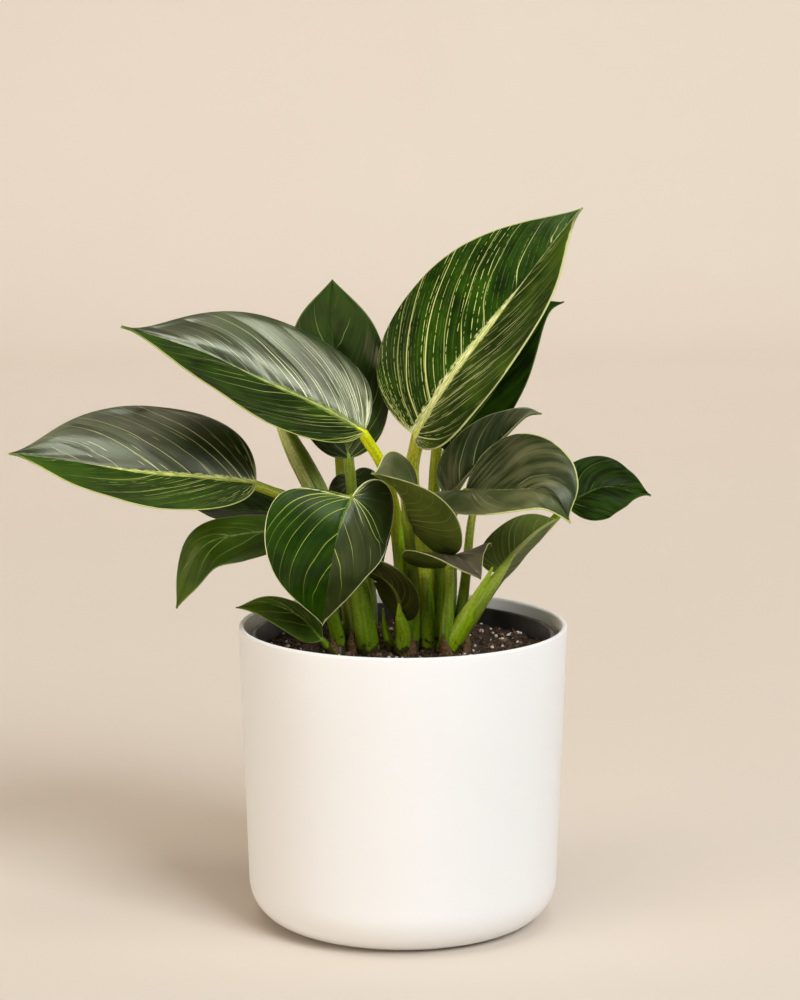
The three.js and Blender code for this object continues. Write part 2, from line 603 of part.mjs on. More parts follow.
function mixSolid() {
  const [around, rings] = [POT_SEGMENTS, 7];
  const floor = NURSERY_FLOOR + NURSERY_WALL + CLEARANCE;
  const side = NURSERY_WALL + CLEARANCE;
  const positions = [0, 0, floor, 0, 0, mixHeight(0, 0)];
  const triangles = [];
  const id = (ring, k) => 2 + ring * around + (k % around);
  for (let ring = 0; ring <= rings; ring++) {
    for (let k = 0; k < around; k++) {
      const angle = (2 * Math.PI * k) / around;
      const bottom = ring === rings;
      const share = bottom ? 1 : (ring + 1) / rings;
      const radius = share * (nurseryRadiusAt(bottom ? floor : MIX_LOWEST) - side);
      const [x, y] = [radius * Math.cos(angle), radius * Math.sin(angle)];
      positions.push(x, y, bottom ? floor : mixHeight(x, y));
    }
  }
  for (let k = 0; k < around; k++) {
    triangles.push([1, id(0, k), id(0, k + 1)], [0, id(rings, k + 1), id(rings, k)]);
    for (let ring = 0; ring < rings; ring++) {
      const [a, b, c, d] = [id(ring, k), id(ring + 1, k), id(ring + 1, k + 1), id(ring, k + 1)];
      triangles.push([a, b, c], [a, c, d]);
    }
  }
  let mix = solidFromTriangles(positions, triangles);
  for (const name of Object.keys(SHOOTS)) mix = mix.subtract(shootSolid(name, CLEARANCE));
  const [whole] = mix.decompose().sort((a, b) => b.volume() - a.volume());
  return whole; // without the crumbs between the holes
}

// ---------------------------------------------------------------- the model
const material = (color, roughness) => new THREE.MeshStandardMaterial({ color, roughness, metalness: 0 });
const MATERIALS = {
  pot: material(0xf3ebe1, 0.45),
  nursery: material(0x2e2d2f, 0.5),
  mix: material(0x33251a, 1),
  petiole: material(0x8d9d24, 0.45),
  spear: material(0x9fb45c, 0.45),
  blade: material(0x2f4d18, 0.4),
};

const plant = new THREE.Group();
plant.name = "potted_birkin";

function place(name, solid, finish) {
  const mesh = new THREE.Mesh(geometryFromSolid(solid), MATERIALS[finish]);
  mesh.name = name;
  plant.add(mesh);
}

place("outer_pot", outerPotSolid(), "pot");
place("nursery_pot", nurseryPotSolid(), "nursery");
place("potting_mix", mixSolid(), "mix");
for (const name of Object.keys(SHOOTS)) place("shoot_" + name, shootSolid(name), "petiole");
place("new_leaf_spear", spearSolid(), "spear");
for (const [name, leaf] of Object.entries(LEAVES)) {
  const large = leaf.half[0] + leaf.half[1] > LARGE_LEAF;
  place(name, large ? bladeSolid(leaf, 16, 4) : bladeSolid(leaf, 11, 3), "blade");
}

export default plant;
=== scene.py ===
"""A potted philodendron birkin: leaves with cream pinstripes on sheathed petioles, potting mix with
perlite, a dark nursery pot and a plain white outer pot, on a pale studio sweep.

Sizes are in millimetres, and are turned to metres when a mesh is made; the studio is in metres.
"""

import math

import bmesh
import bpy
import numpy as np
from mathutils import Matrix, Vector, noise


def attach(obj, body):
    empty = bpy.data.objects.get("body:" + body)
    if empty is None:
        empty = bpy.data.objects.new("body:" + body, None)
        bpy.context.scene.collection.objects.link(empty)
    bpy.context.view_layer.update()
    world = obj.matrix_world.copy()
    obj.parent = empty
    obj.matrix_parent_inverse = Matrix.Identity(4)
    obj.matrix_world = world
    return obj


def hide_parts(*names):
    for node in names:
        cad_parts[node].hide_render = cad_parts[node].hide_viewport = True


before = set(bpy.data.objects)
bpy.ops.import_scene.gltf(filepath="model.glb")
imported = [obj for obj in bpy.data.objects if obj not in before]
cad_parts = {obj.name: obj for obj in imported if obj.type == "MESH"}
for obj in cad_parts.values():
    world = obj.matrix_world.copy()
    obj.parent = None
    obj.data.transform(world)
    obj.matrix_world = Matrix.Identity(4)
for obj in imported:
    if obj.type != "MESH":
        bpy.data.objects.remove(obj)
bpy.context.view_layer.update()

MM = 0.001

# ---- sizes, as the solids have them
RIM_RADIUS = 76.0
POT_HEIGHT = 140.0
POT_BASE_RADIUS = 72.0
FOOT_RADIUS = 20.0
WALL = 2.4
FLOOR = 3.0
NURSERY_RIM_RADIUS = 70.6
NURSERY_TOP = 135.4
NURSERY_BASE_RADIUS = 52.0
NURSERY_WALL = 1.2
NURSERY_LIP = 2.2
NURSERY_FLOOR = 3.3
DRAIN_HOLE_RADIUS = 4.0
DRAIN_CIRCLE = 38.0
DRAIN_HOLES = 6
MIX_TOP = 127.0
BLADE = 0.8
CROWN_DEPTH = 16.0
HEART_DEPTH = 6.0  # how deep in the mix petioles and sheaths start

# Each shoot: the place and radius of its crown, and the ways its dead bracts face, in degrees.
SHOOTS = {
    "left": ((-30, -2), 5, (-118, 23)),
    "centre_left": ((-18, 3), 7.5, (-131, 61)),
    "centre": ((0.5, -2), 6, (-62,)),
    "centre_right": ((14, 7), 6.5, (-40, 100)),
    "right": ((23, -6.5), 6, (-124, -17, 75)),
}

# What most leaves have. fan is the share of the veins that fan out from the petiole, bulge how far
# they bow out there, level how far the fold flattens towards the tip, and keel the share of the
# midrib that the petiole runs on under.
USUAL = dict(fold=15, curl=0, lobe=0, widest=0.38, tip=0.2, level=0, fan=0.27, bulge=0, wave=0.5, keel=0.2,
             back="olive", pleats=8, quilt=0.2, foot="6c8a0c", top="a4be28", margin=0.45)
PAIRED = ("half", "fold", "curl", "lobe", "widest", "tip", "level", "finish", "margin")

# Each leaf, as in the solids: midrib, the way its face looks at the petiole, half widths, folds and
# curls in degrees, lobes, widest places, fullness of the tip, ripple, shoot, petiole path and radii.
# Then its looks: the finish of its face and its back, the pleats on it and how deep they are, the
# tones of the petiole at its foot and top (its own green, with painted shade at the foot and painted
# light at the top), and the width of its pale margin.
# A PAIRED value is given for each half blade, or once for both.
LEAVES = {
    "leaf_top_right": dict(
        rib=[(5.5, 0, 228), (21, -6, 254), (45.5, -4, 286.5), (68.5, 4, 316), (82, 12, 331.5)],
        face=(-0.39, -0.85, 0.4), half=(39, 34), fold=(28, 34), curl=(-14, -10), lobe=(0, 0.02),
        tip=(0.2, 0.08), wave=0.8, shoot="centre_right",
        path=[(12.8, 3, 128), (11, 3, 145), (9.5, 4, 169), (6, 5, 192), (4, 6, 210)],
        radii=(6, 5, 4.4, 3.6, 3.4, 3.3), keel=0.3, finish=("bold_left", "bold_right"), pleats=10,
        quilt=0.25, foot="98a41e", top="fdfa5e", margin=(0.45, 1.1)),
    "leaf_top_left": dict(
        rib=[(-17.5, -12, 231.5), (-40.5, -10, 244), (-65.5, -10, 255.5), (-90.5, -14, 268),
             (-126.5, -22, 281)], face=(0, -0.62, 0.8), half=(32, 33), fold=(18, 22), curl=(5, -26),
        widest=0.36, tip=(0.08, -0.02), level=(0, 0.9), wave=0.8, shoot="centre",
        path=[(0, 1, 127), (1, 3, 150), (-1.5, 2, 176.5), (-5, -2, 198), (-9, -6, 214)],
        radii=(4.5, 4.5, 4, 3.2, 2.7, 2.5), keel=0.3, finish=("pinstripes_below", "waxy_pinstripes"),
        pleats=9, quilt=0.4, foot="6f800c", top="f6f812", margin=(0.6, 0.2)),
    "leaf_left": dict(
        rib=[(-67, -10, 207.5), (-93, -12, 210.5), (-119.5, -14, 213), (-146.5, -18, 218),
             (-178, -24, 223.5)], face=(0, -0.62, 0.8), half=(33, 35), fold=(18, 24), curl=(5, -20),
        widest=0.4, tip=0.14, wave=0.8, shoot="centre_left",
        path=[(-20, 2, 128), (-24.5, 4, 150), (-31.5, 2, 174), (-40.5, -2, 190), (-54, -6, 200)],
        radii=(4.4, 4, 3.2, 2.6, 2.4, 2.3), keel=0.3, finish=("arcs_below", "waxy_arcs"), quilt=0.35,
        foot="6f800e", top="c6cc40", margin=(0.5, 0.22)),
    "leaf_front": dict(
        rib=[(-23, -30, 204.5), (-28.5, -38, 191.5), (-33, -40, 170.5), (-36.5, -28, 144.5)],
        face=(0.15, -0.95, 0.3), half=(29, 33), fold=(-8, 4), curl=(-45, -10), lobe=(0.2, -0.04),
        widest=(0.22, 0.28), tip=(0.06, 0.14), fan=0.6, bulge=0.4, shoot="centre_left",
        path=[(-16, -4, 128), (-19, -6, 152), (-21.5, -12, 176), (-22.5, -20, 194)],
        radii=(6, 5.4, 4.6, 3, 2.5, 2), keel=0, finish=("lime_arcs_shaded", "lime_arcs"), pleats=7,
        top="93a634", margin=(1.0, 0.5)),
    "leaf_top_back": dict(
        rib=[(-25, 10, 215.5), (-29, 14, 242.5), (-32.5, 18, 270), (-32.5, 16, 298)],
        face=(0.05, -0.95, 0.3), half=(22, 24), widest=0.46, tip=0.5, shoot="centre_left",
        path=[(-17, 8, 127), (-20.5, 13.5, 148.5), (-23, 15, 186), (-24, 14, 203)],
        radii=(4, 3.6, 3.2, 2.7, 2.5), keel=0.25, finish="faint", quilt=0.3, top="a4b644"),
    "leaf_right_back": dict(
        rib=[(20, 22, 217), (39.5, 28, 240.5), (54.5, 34, 263), (66, 34, 281), (75, 34, 286)],
        face=(-0.3, -0.9, 0.3), half=(26, 18), fold=(20, 25), widest=(0.4, 0.22), tip=0.1,
        shoot="centre_right", path=[(17.5, 12, 127), (20, 20, 156.5), (21, 25, 184), (20, 26, 203)],
        radii=(4, 4, 3, 2.5, 2.2), finish="dark"),
    "leaf_folded": dict(
        rib=[(21.5, 4, 200), (34.5, 6, 213.5), (48.5, 8, 228), (57, 10, 235.5), (64, 12, 236.5)],
        face=(-0.52, -0.66, 0.62), half=(16, 14), fold=(42, 48), lobe=0.03, widest=0.35, wave=0.3,
        shoot="centre_right", path=[(18, 8, 127), (22, 9, 154), (22, 8, 178)], radii=(4, 3.6, 2.4, 2),
        finish="olive_grey", pleats=6, quilt=0.15),
    "leaf_right": dict(
        rib=[(28.5, -14, 205), (44, -24, 206.5), (59.5, -32, 208), (68.5, -36, 204.5), (75.5, -38, 194)],
        face=(0, -0.62, 0.8), half=(27.5, 17), fold=(22, 10), curl=(10, -20), lobe=(0, 0.3),
        widest=(0.42, 0.3), tip=(0, 0.4), wave=0.6, shoot="centre_right",
        path=[(15.5, 2.5, 127), (18.5, 0, 155.5), (20.5, -4, 180), (24, -9, 197)],
        radii=(4.4, 4, 3.4, 2.4, 2.1), finish=("pleated_grey", "smooth_grey_dark_tip"), pleats=6,
        quilt=0.45, top="a2b43a", margin=(0.5, 0.65)),
    "leaf_curled": dict(
        rib=[(3.5, -17, 189.7), (-2, -25, 206.2), (-14, -33, 216.2)], face=(0.65, 0.45, 0.45),
        half=(33, 15.5), fold=(8, 72), lobe=(0.35, -0.1), widest=(0.2, 0.66), tip=(0.3, 0.05), wave=0.3,
        shoot="centre", path=[(3.5, -2, 128), (4.5, -4, 151.5), (4, -8, 171)], radii=(4, 3.6, 2.8, 2.4),
        keel=0.4, finish=("dusky", "smooth_grey"), back="deep", top="a2b43a"),
    "leaf_far_right": dict(
        rib=[(75.5, 10, 194), (91, 14, 201), (104.5, 16, 200.5), (115.5, 16, 197.5)],
        face=(0.1, -0.66, 0.75), half=(18, 17), fold=8, curl=(-10, -20), widest=0.36, tip=0.05,
        shoot="right", path=[(24, 0, 128), (34, 12, 143), (48, 20, 161), (64, 19, 178.5)],
        radii=(3.4, 3, 2.6, 2.3, 1.9), finish="dark", pleats=7, quilt=0.4),
    "leaf_low_right": dict(
        rib=[(44.5, -10, 167), (51.5, -4, 174), (61.5, 2, 182.5), (70.5, 4, 188)],
        face=(-0.23, 0.92, 0.06), half=(13, 15), fold=45, lobe=0.1, widest=0.35, tip=0.5, wave=0.4,
        shoot="right", path=[(20, -6, 128.5), (27, -9, 140.5), (37, -13, 155.5)],
        radii=(5, 5, 5, 3.6, 2.2), keel=0.3, finish="faint", back="deep", quilt=0.15, top="a4b644"),
    "leaf_small_centre": dict(
        rib=[(21.5, -18, 171.5), (22, -30, 177), (27, -40, 177), (35, -46, 170)], face=(0.15, -0.2, 0.95),
        half=(20, 22), fold=(30, -5), lobe=(0.1, 0.3), widest=0.2, tip=0.3, wave=0.3, shoot="right",
        path=[(20.5, -9, 129), (20.5, -11, 148), (21, -14, 162)], radii=(4, 3.4, 2.4, 2), keel=0.1,
        finish="dusky", back="deep", pleats=6, quilt=0.15, top="a4b644"),
    "leaf_low_left": dict(
        rib=[(-51, -8, 185), (-74.5, -10, 183.5), (-93, -12, 176.5), (-104.5, -8, 148.5)],
        face=(-0.2, -0.7, 0.7), half=(16, 11), fold=10, curl=(-10, -20), widest=0.4, tip=0.3, wave=0.4,
        shoot="left", path=[(-29, 1, 128.5), (-34, 0, 148.5), (-40, -4, 168)], radii=(3.6, 3.4, 2.7, 2.1),
        finish="fresh", pleats=7, quilt=0.15),
    "leaf_dark_left": dict(
        rib=[(-48, 22, 186.5), (-71.5, 26, 188.5), (-100.5, 30, 189.5)], face=(0, -0.35, 0.9), half=18,
        fold=10, widest=0.4, wave=0.4, shoot="left", path=[(-30, 4, 128), (-34, 17, 150), (-39, 22, 172)],
        radii=(3, 3, 2.5, 2), finish="dark", pleats=7),
    "leaf_over_rim": dict(
        rib=[(-37, -12, 134.5), (-47.5, -12, 145.5), (-62, -10, 151), (-77, -8, 149)],
        face=(-0.1, -0.75, 0.65), half=(12, 5), fold=(25, 20), lobe=-0.02, widest=0.35, wave=0.2,
        shoot="left", path=[(-32.5, -7, 127)], radii=(3, 2.6, 1.8), keel=0.3, finish="fresh", quilt=0.1,
        top="7d9a20"),
    "leaf_arched": dict(
        rib=[(-0.5, -14, 147), (-3, -21, 159), (-10.5, -23, 167), (-23, -17, 170)], face=(0.4, 0.7, 0.5),
        half=(10, 16), fold=(10, 20), lobe=0.1, widest=0.4, wave=0.2, shoot="centre",
        path=[(-1, -8, 128), (0.5, -11, 137)], radii=(4, 3.6, 2.2), finish="faint", back="shaded",
        quilt=0.1),
    "leaf_behind_front": dict(
        rib=[(-23.5, 26, 202.5), (-18, 25, 184), (-9, 27, 163.5)], face=(0.1, -0.95, 0.2), half=15,
        fold=10, lobe=0.12, widest=0.3, wave=0.3, shoot="centre_left",
        path=[(-15, 11, 127), (-16, 28, 156), (-20, 33, 184)], radii=(3.4, 3, 2.4, 1.9), keel=0,
        finish="olive_grey", pleats=7),
    "leaf_back_left": dict(
        rib=[(-30.5, 42, 227), (-49, 56, 239), (-78, 70, 248)], face=(-0.2, -0.1, 0.95), half=24,
        wave=0.8, shoot="centre_left", path=[(-20, 9, 127), (-27, 24, 160), (-29, 34, 200)],
        radii=(3.6, 3.2, 2.6, 2.2), keel=0.25, finish=("waxy_arcs", "arcs_below"), quilt=0.3, top="c0c640"),
    "leaf_back_right": dict(
        rib=[(17.5, 40, 234), (32, 54, 256), (46.5, 72, 277.5)], face=(-0.1, -0.5, 0.85), half=24,
        wave=0.8, shoot="centre_right", path=[(13, 13, 127), (14, 28, 165), (15, 36, 205)],
        radii=(3.8, 3.4, 2.8, 2.3), keel=0.25, finish=("bold_left", "pinstripes_below"), pleats=9,
        quilt=0.3, top="ccd430"),
    "leaf_back_low": dict(
        rib=[(35.5, 36, 195.5), (53.5, 50, 200), (73.5, 62, 200)], face=(0.1, -0.2, 0.95), half=15,
        shoot="right", path=[(25, 0, 128), (29, 18, 156), (32, 29, 182)], radii=(3, 2.8, 2.2, 1.8),
        keel=0.25, finish=("arcs_below", "waxy_arcs"), top="c0c640"),
}

# Pointed sheaths round the petiole bases: shoot, path up to the tip and radii along it.
SHEATHS = [
    ("centre", [(0.3, 0, 127), (0.8, 0, 150), (-0.5, -2, 172), (-2.5, -4, 196)], (4.9, 4.4, 3.6, 0.5)),
    ("centre", [(-5, -3, 127), (-8, -4, 137), (-9.3, -5, 148)], (2.8, 2, 0.4)),
    ("centre_right", [(12.8, 3, 127), (12, 1, 145), (12, 0, 163)], (6.2, 4.8, 0.5)),
    ("right", [(21, -8, 128), (30, -12, 146), (41, -15.5, 169.5)], (4.6, 4.2, 0.5)),
]

SPEAR_STUB = [(-22, 6, 128), (-26.5, 11.5, 151)]
SPEAR = [(-29, 12.6, 163), (-34, 13, 181.5), (-41, 12.5, 201), (-52.5, 12, 224), (-62, 12, 247)]
SPEAR_RADII = (3.2, 3.9, 5, 5.8, 5.4, 3.6, 0.5)

# ---- curves


def smooth_line(points, steps):
    """A Catmull-Rom line through the points, as steps + 1 points at equal distances, and its length."""
    p = np.asarray(points, float)
    p = np.vstack([2 * p[0] - p[1], p, 2 * p[-1] - p[-2]])
    t = np.linspace(0, 1, 24, endpoint=False)[:, None]
    spans = [0.5 * ((2 * b) + (c - a) * t + (2 * a - 5 * b + 4 * c - d) * t**2
                    + (3 * b - a - 3 * c + d) * t**3)
             for a, b, c, d in zip(p, p[1:], p[2:], p[3:])]
    fine = np.vstack(spans + [p[-2:-1]])
    run = run_along(fine)
    at = np.linspace(0, run[-1], steps + 1)
    return np.stack([np.interp(at, run, fine[:, k]) for k in range(3)], 1), run[-1]


def run_along(line):
    """How far along a line each of its points is."""
    return np.concatenate([[0], np.cumsum(np.linalg.norm(np.diff(line, axis=0), axis=1))])


def full_turn(count):
    """Angles evenly spaced round a full turn."""
    return np.linspace(0, 2 * math.pi, count, endpoint=False)


def round_uv(angle, along):
    """UV places of a round piece: the share of a turn, and how far along it."""
    return np.stack(np.broadcast_arrays(angle / (2 * math.pi), np.asarray(along, float)[:, None]), -1)


def unit(v):
    """Vectors of length one."""
    return v / np.maximum(np.linalg.norm(v, axis=-1, keepdims=True), 1e-12)


def frames_along(line, face):
    """Along a line: its directions, its face, carried on from the first, and its sides."""
    tangent = unit(np.gradient(line, axis=0))
    normal = np.empty_like(tangent)
    n = np.asarray(face, float)
    for i, t in enumerate(tangent):
        normal[i] = n = unit(n - t * (n @ t))
    return tangent, normal, np.cross(tangent, normal)


def at_share(values, share):
    """Evenly spaced values, read at shares of the way along."""
    values = np.asarray(values, float)
    places, known = np.clip(share, 0, 1) * (len(values) - 1), np.arange(len(values))
    if values.ndim == 1:
        return np.interp(places, known, values)
    return np.stack([np.interp(places, known, column) for column in values.T], -1)


def step(low, high, x):
    """0 below low, 1 above high, smooth between."""
    t = np.clip((x - low) / (high - low), 0, 1)
    return t * t * (3 - 2 * t)


# ---- colours and meshes
MERGED = 0.002  # points closer than this become one


def linear(code):
    """An sRGB hex colour as linear red, green, blue and alpha."""
    parts = [int(code[i:i + 2], 16) / 255 for i in (0, 2, 4)]
    return tuple(c / 12.92 if c <= 0.04045 else ((c + 0.055) / 1.055)**2.4 for c in parts) + (1.0,)


def mixed(low, high, share):
    """The way from one tone to another, each a hex colour or an array of tones."""
    low, high = (np.array(linear(tone)) if isinstance(tone, str) else tone for tone in (low, high))
    return low + (high - low) * share


def place(name, data):
    """A new object in the scene for a mesh, light or camera."""
    made = bpy.data.objects.new(name, data)
    bpy.context.scene.collection.objects.link(made)
    return made


def worked_in(piece):
    """A piece's mesh with its modifiers worked in."""
    bpy.context.view_layer.update()
    return bpy.data.meshes.new_from_object(piece.evaluated_get(bpy.context.evaluated_depsgraph_get()))


class Shape:
    """Points, faces and what is painted on them, gathered until they are made one mesh."""

    def __init__(self):
        self.points, self.faces, self.uvs, self.kinds = [], [], [], []
        self.painted = {}
        self.count = 0

    def grid(self, points, uv, kind=0, closed=False, flip=False, **painted):
        """Adds a grid of points (rows, columns, 3), joined into four-sided faces."""
        rows, columns = points.shape[:2]
        i, j = np.meshgrid(np.arange(rows - 1), np.arange(columns - (not closed)), indexing="ij")
        i, j = i.ravel(), j.ravel()
        low, high, far = i * columns, (i + 1) * columns, (j + 1) % columns
        corners = np.stack([low + j, high + j, high + far, low + far], 1)
        wide = np.concatenate([uv, uv[:, :1] + [[[1.0, 0.0]]]], 1) if closed else uv
        uv_corners = np.stack([wide[i, j], wide[i + 1, j], wide[i + 1, j + 1], wide[i, j + 1]], 1)
        if flip:
            corners, uv_corners = corners[:, ::-1], uv_corners[:, ::-1]
        self.points.append(points.reshape(-1, 3))
        self.faces.append(corners + self.count)
        self.uvs.append(uv_corners.reshape(-1, 2))
        self.kinds.append(np.full(len(corners), kind))
        for name, values in painted.items():
            values = np.broadcast_to(values, (rows, columns) + np.shape(values)[2:])
            self.painted.setdefault(name, []).append(values.reshape(rows * columns, -1))
        self.count += rows * columns

    def build(self, name, *materials):
        """The mesh object, with coinciding points merged."""
        mesh = bpy.data.meshes.new(name)
        mesh.from_pydata((np.vstack(self.points) * MM).tolist(), [], np.vstack(self.faces).tolist())
        mesh.uv_layers.new(name="veins").data.foreach_set("uv", np.vstack(self.uvs).ravel())
        mesh.polygons.foreach_set("material_index", np.concatenate(self.kinds))
        for key, parts in self.painted.items():
            values = np.vstack(parts)
            kind, field = ("FLOAT_COLOR", "color") if values.shape[1] == 4 else ("FLOAT", "value")
            mesh.attributes.new(key, kind, "POINT").data.foreach_set(field, values.ravel())
        work = bmesh.new()
        work.from_mesh(mesh)
        bmesh.ops.remove_doubles(work, verts=work.verts, dist=MERGED * MM)
        bmesh.ops.dissolve_degenerate(work, edges=work.edges, dist=MERGED * MM * 0.5)
        work.to_mesh(mesh)
        work.free()
        mesh.polygons.foreach_set("use_smooth", [True] * len(mesh.polygons))
        for material in materials:
            mesh.materials.append(material)
        return place(name, mesh)


def settle(piece, slot, *nodes):
    """A finished piece rides on the plant's one body and stands for its solids."""
    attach(piece, "root")
    if nodes:
        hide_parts(*nodes)


# ---- materials

# The nodes in use: their kind and fixed settings, their inputs in order where these aren't the
# first ones, and the output that is wanted where it isn't the first.
NODES = {
    "ease": dict(kind="ShaderNodeMapRange", interpolation_type="SMOOTHSTEP"),
    "range": dict(kind="ShaderNodeMapRange"),
    "blend": dict(kind="ShaderNodeMix", data_type="RGBA", places=(0, 6, 7), wanted=2),
    "multiply": dict(kind="ShaderNodeMix", data_type="RGBA", blend_type="MULTIPLY", places=(0, 6, 7),
                     wanted=2),
    "uv": dict(kind="ShaderNodeUVMap", uv_map="veins"),
    "painted": dict(kind="ShaderNodeAttribute", wanted="Fac"),
    "coordinates": dict(kind="ShaderNodeTexCoord", wanted="Object"),
    "join": dict(kind="ShaderNodeCombineXYZ"),
    "split": dict(kind="ShaderNodeSeparateXYZ"),
    "split colour": dict(kind="ShaderNodeSeparateColor"),
    "dot": dict(kind="ShaderNodeVectorMath", operation="DOT_PRODUCT", wanted="Value"),
    "vector scaled": dict(kind="ShaderNodeVectorMath", operation="SCALE", places=(0, "Scale")),
    "noise": dict(kind="ShaderNodeTexNoise", places=("Vector", "Scale", "Detail")),
    "chance": dict(kind="ShaderNodeTexWhiteNoise", noise_dimensions="1D", places=("W",), wanted="Color"),
    "bump": dict(kind="ShaderNodeBump", places=("Height", "Strength", "Distance")),
    "given": dict(kind="NodeGroupInput"),
    "result": dict(kind="NodeGroupOutput", wanted=None),
    "normal": dict(kind="GeometryNodeInputNormal"),
    "position": dict(kind="GeometryNodeInputPosition"),
    "more than": dict(kind="FunctionNodeCompare", operation="GREATER_THAN"),
    "places": dict(kind="GeometryNodeDistributePointsOnFaces",
                   places=("Mesh", "Selection", "Density", "Seed")),
    "grain": dict(kind="GeometryNodeMeshIcoSphere"),
    "random vector": dict(kind="FunctionNodeRandomValue", data_type="FLOAT_VECTOR", places=(0, 1, "Seed")),
    "random size": dict(kind="FunctionNodeRandomValue", data_type="FLOAT", places=(2, 3, "Seed"),
                        wanted=1),
    "strewn": dict(kind="GeometryNodeInstanceOnPoints", places=("Points", "Instance", "Rotation", "Scale")),
    "solid": dict(kind="GeometryNodeRealizeInstances"),
    "moved": dict(kind="GeometryNodeSetPosition", places=("Geometry", "Offset")),
    "dressed": dict(kind="GeometryNodeSetMaterial", places=("Geometry", "Material")),
}
for kind, operations in (
        ("ShaderNodeMath", dict(sum="ADD", less="SUBTRACT", times="MULTIPLY", over="DIVIDE",
                                larger="MAXIMUM", whole="FLOOR", rest="FRACT", size="ABSOLUTE")),
        ("ShaderNodeVectorMath", {"vector sum": "ADD", "vector less": "SUBTRACT",
                                  "vector times": "MULTIPLY"})):
    NODES.update({name: dict(kind=kind, operation=done) for name, done in operations.items()})


def node(tree, name, *values, **settings):
    """Adds a node of the table with its settings, and returns the output that is wanted. Each input
    gets a value, a hex colour, a link to an output, or a link to a further node, which is given as
    a row such as ("sum", a, b)."""
    settings = {**NODES[name], **settings}
    made = tree.nodes.new(settings.pop("kind"))
    places, wanted = settings.pop("places", range(5)), settings.pop("wanted", 0)
    for key, value in settings.items():
        setattr(made, key, value)
    for spot, value in zip(places, values):
        if isinstance(value, tuple) and isinstance(value[0], str):
            value = node(tree, *value)
        if isinstance(value, bpy.types.NodeSocket):
            tree.links.new(value, made.inputs[spot])
        else:
            made.inputs[spot].default_value = linear(value) if isinstance(value, str) else value
    return made if wanted is None else made.outputs[wanted]


def surface(name, **values):
    """A new material and its tree, with constant values on the shader's own sockets."""
    material = bpy.data.materials.new(name)
    material.use_nodes = True
    for key, value in values.items():
        material.node_tree.nodes["Principled BSDF"].inputs[key.replace("_", " ")].default_value = value
    return material, material.node_tree


def finish(material, colour, rough, height, strength, depth):
    """Gives the shader rows for its colour and roughness, and makes height a fine relief."""
    tree = material.node_tree
    rows = {"Base Color": colour, "Roughness": rough, "Normal": ("bump", height, strength, depth * MM)}
    for key, row in rows.items():
        if row is not None:
            tree.links.new(node(tree, *row), tree.nodes["Principled BSDF"].inputs[key])
    return material


def object_noise(tree, size, detail=3.0, stretch=(1, 1, 1)):
    """Noise on Object coordinates whose features are about size mm across."""
    scale = tuple(share / (size * MM) for share in stretch)
    return node(tree, "noise", ("vector times", ("coordinates",), scale), 1.0, detail)


def uv_noise(tree, u, v, across, along, seed=0.0, detail=2.0):
    """Noise across and along the side veins, as many features as the two numbers say."""
    return node(tree, "noise", ("join", ("times", u, across), ("times", v, along), seed), 1.0, detail)


def uv_ways(tree):
    """The two ways of the piece's own UV map: on a blade across and along the side veins, on a
    petiole round and along it."""
    return node(tree, "split", ("uv",)).node.outputs[:2]


def vein_lines(tree, u, v, gap, lines, seed):
    """Lines along the side veins. lines: how many to a half blade, half width, how faint the
    faintest is, the share of their length that shows, how often they break, what is left at the edge."""
    count, width, weak, shown, breaks, kept = lines
    count = float(count)
    wobble = ("times", ("less", uv_noise(tree, u, v, count * 0.3, 2.0, seed, 1.0), 0.5),
              ("ease", v, 0.0, 0.3, 0.0, 0.35 + 0.012 * count))
    at = node(tree, "sum", ("times", u, count), wobble)
    line = node(tree, "whole", at)
    first, second, third = node(tree, "split colour", ("chance", ("sum", line, seed * 7.31))).node.outputs
    away = ("less", ("rest", at), ("range", first, 0.0, 1.0, 0.25, 0.75))
    distance = ("times", ("size", away), ("over", gap, count))
    reach = ("times", ("range", second, 0.0, 1.0, 0.6 * width, 1.4 * width),
             ("ease", v, 0.1, 1.0, 1.25, 0.7))
    on_line = ("ease", ("over", distance, reach), 0.35, 1.0, 1.0, 0.0)
    gone = 0.62 - 0.3 * shown
    there = ("ease", uv_noise(tree, line, v, 5.3, breaks, seed + 3.0, 1.0), gone - 0.07, gone + 0.07)
    strength = ("times", ("ease", third, 0.2, 0.8, weak, 1.0), ("ease", v, 0.3, 1.0, 1.0, kept))
    off_lobe = ("ease", ("times", ("rest", u), count), 0.7, 1.3)
    return node(tree, "times", ("times", on_line, there), ("times", strength, off_lobe))


def blade_coordinates(tree):
    """Across and along the side veins, then mm to the midrib, margin widths to the edge, the share of
    the leaf's length, and mm between veins."""
    return (*uv_ways(tree), *(node(tree, "painted", attribute_name=key)
                              for key in ("rib", "edge", "along", "gap")))


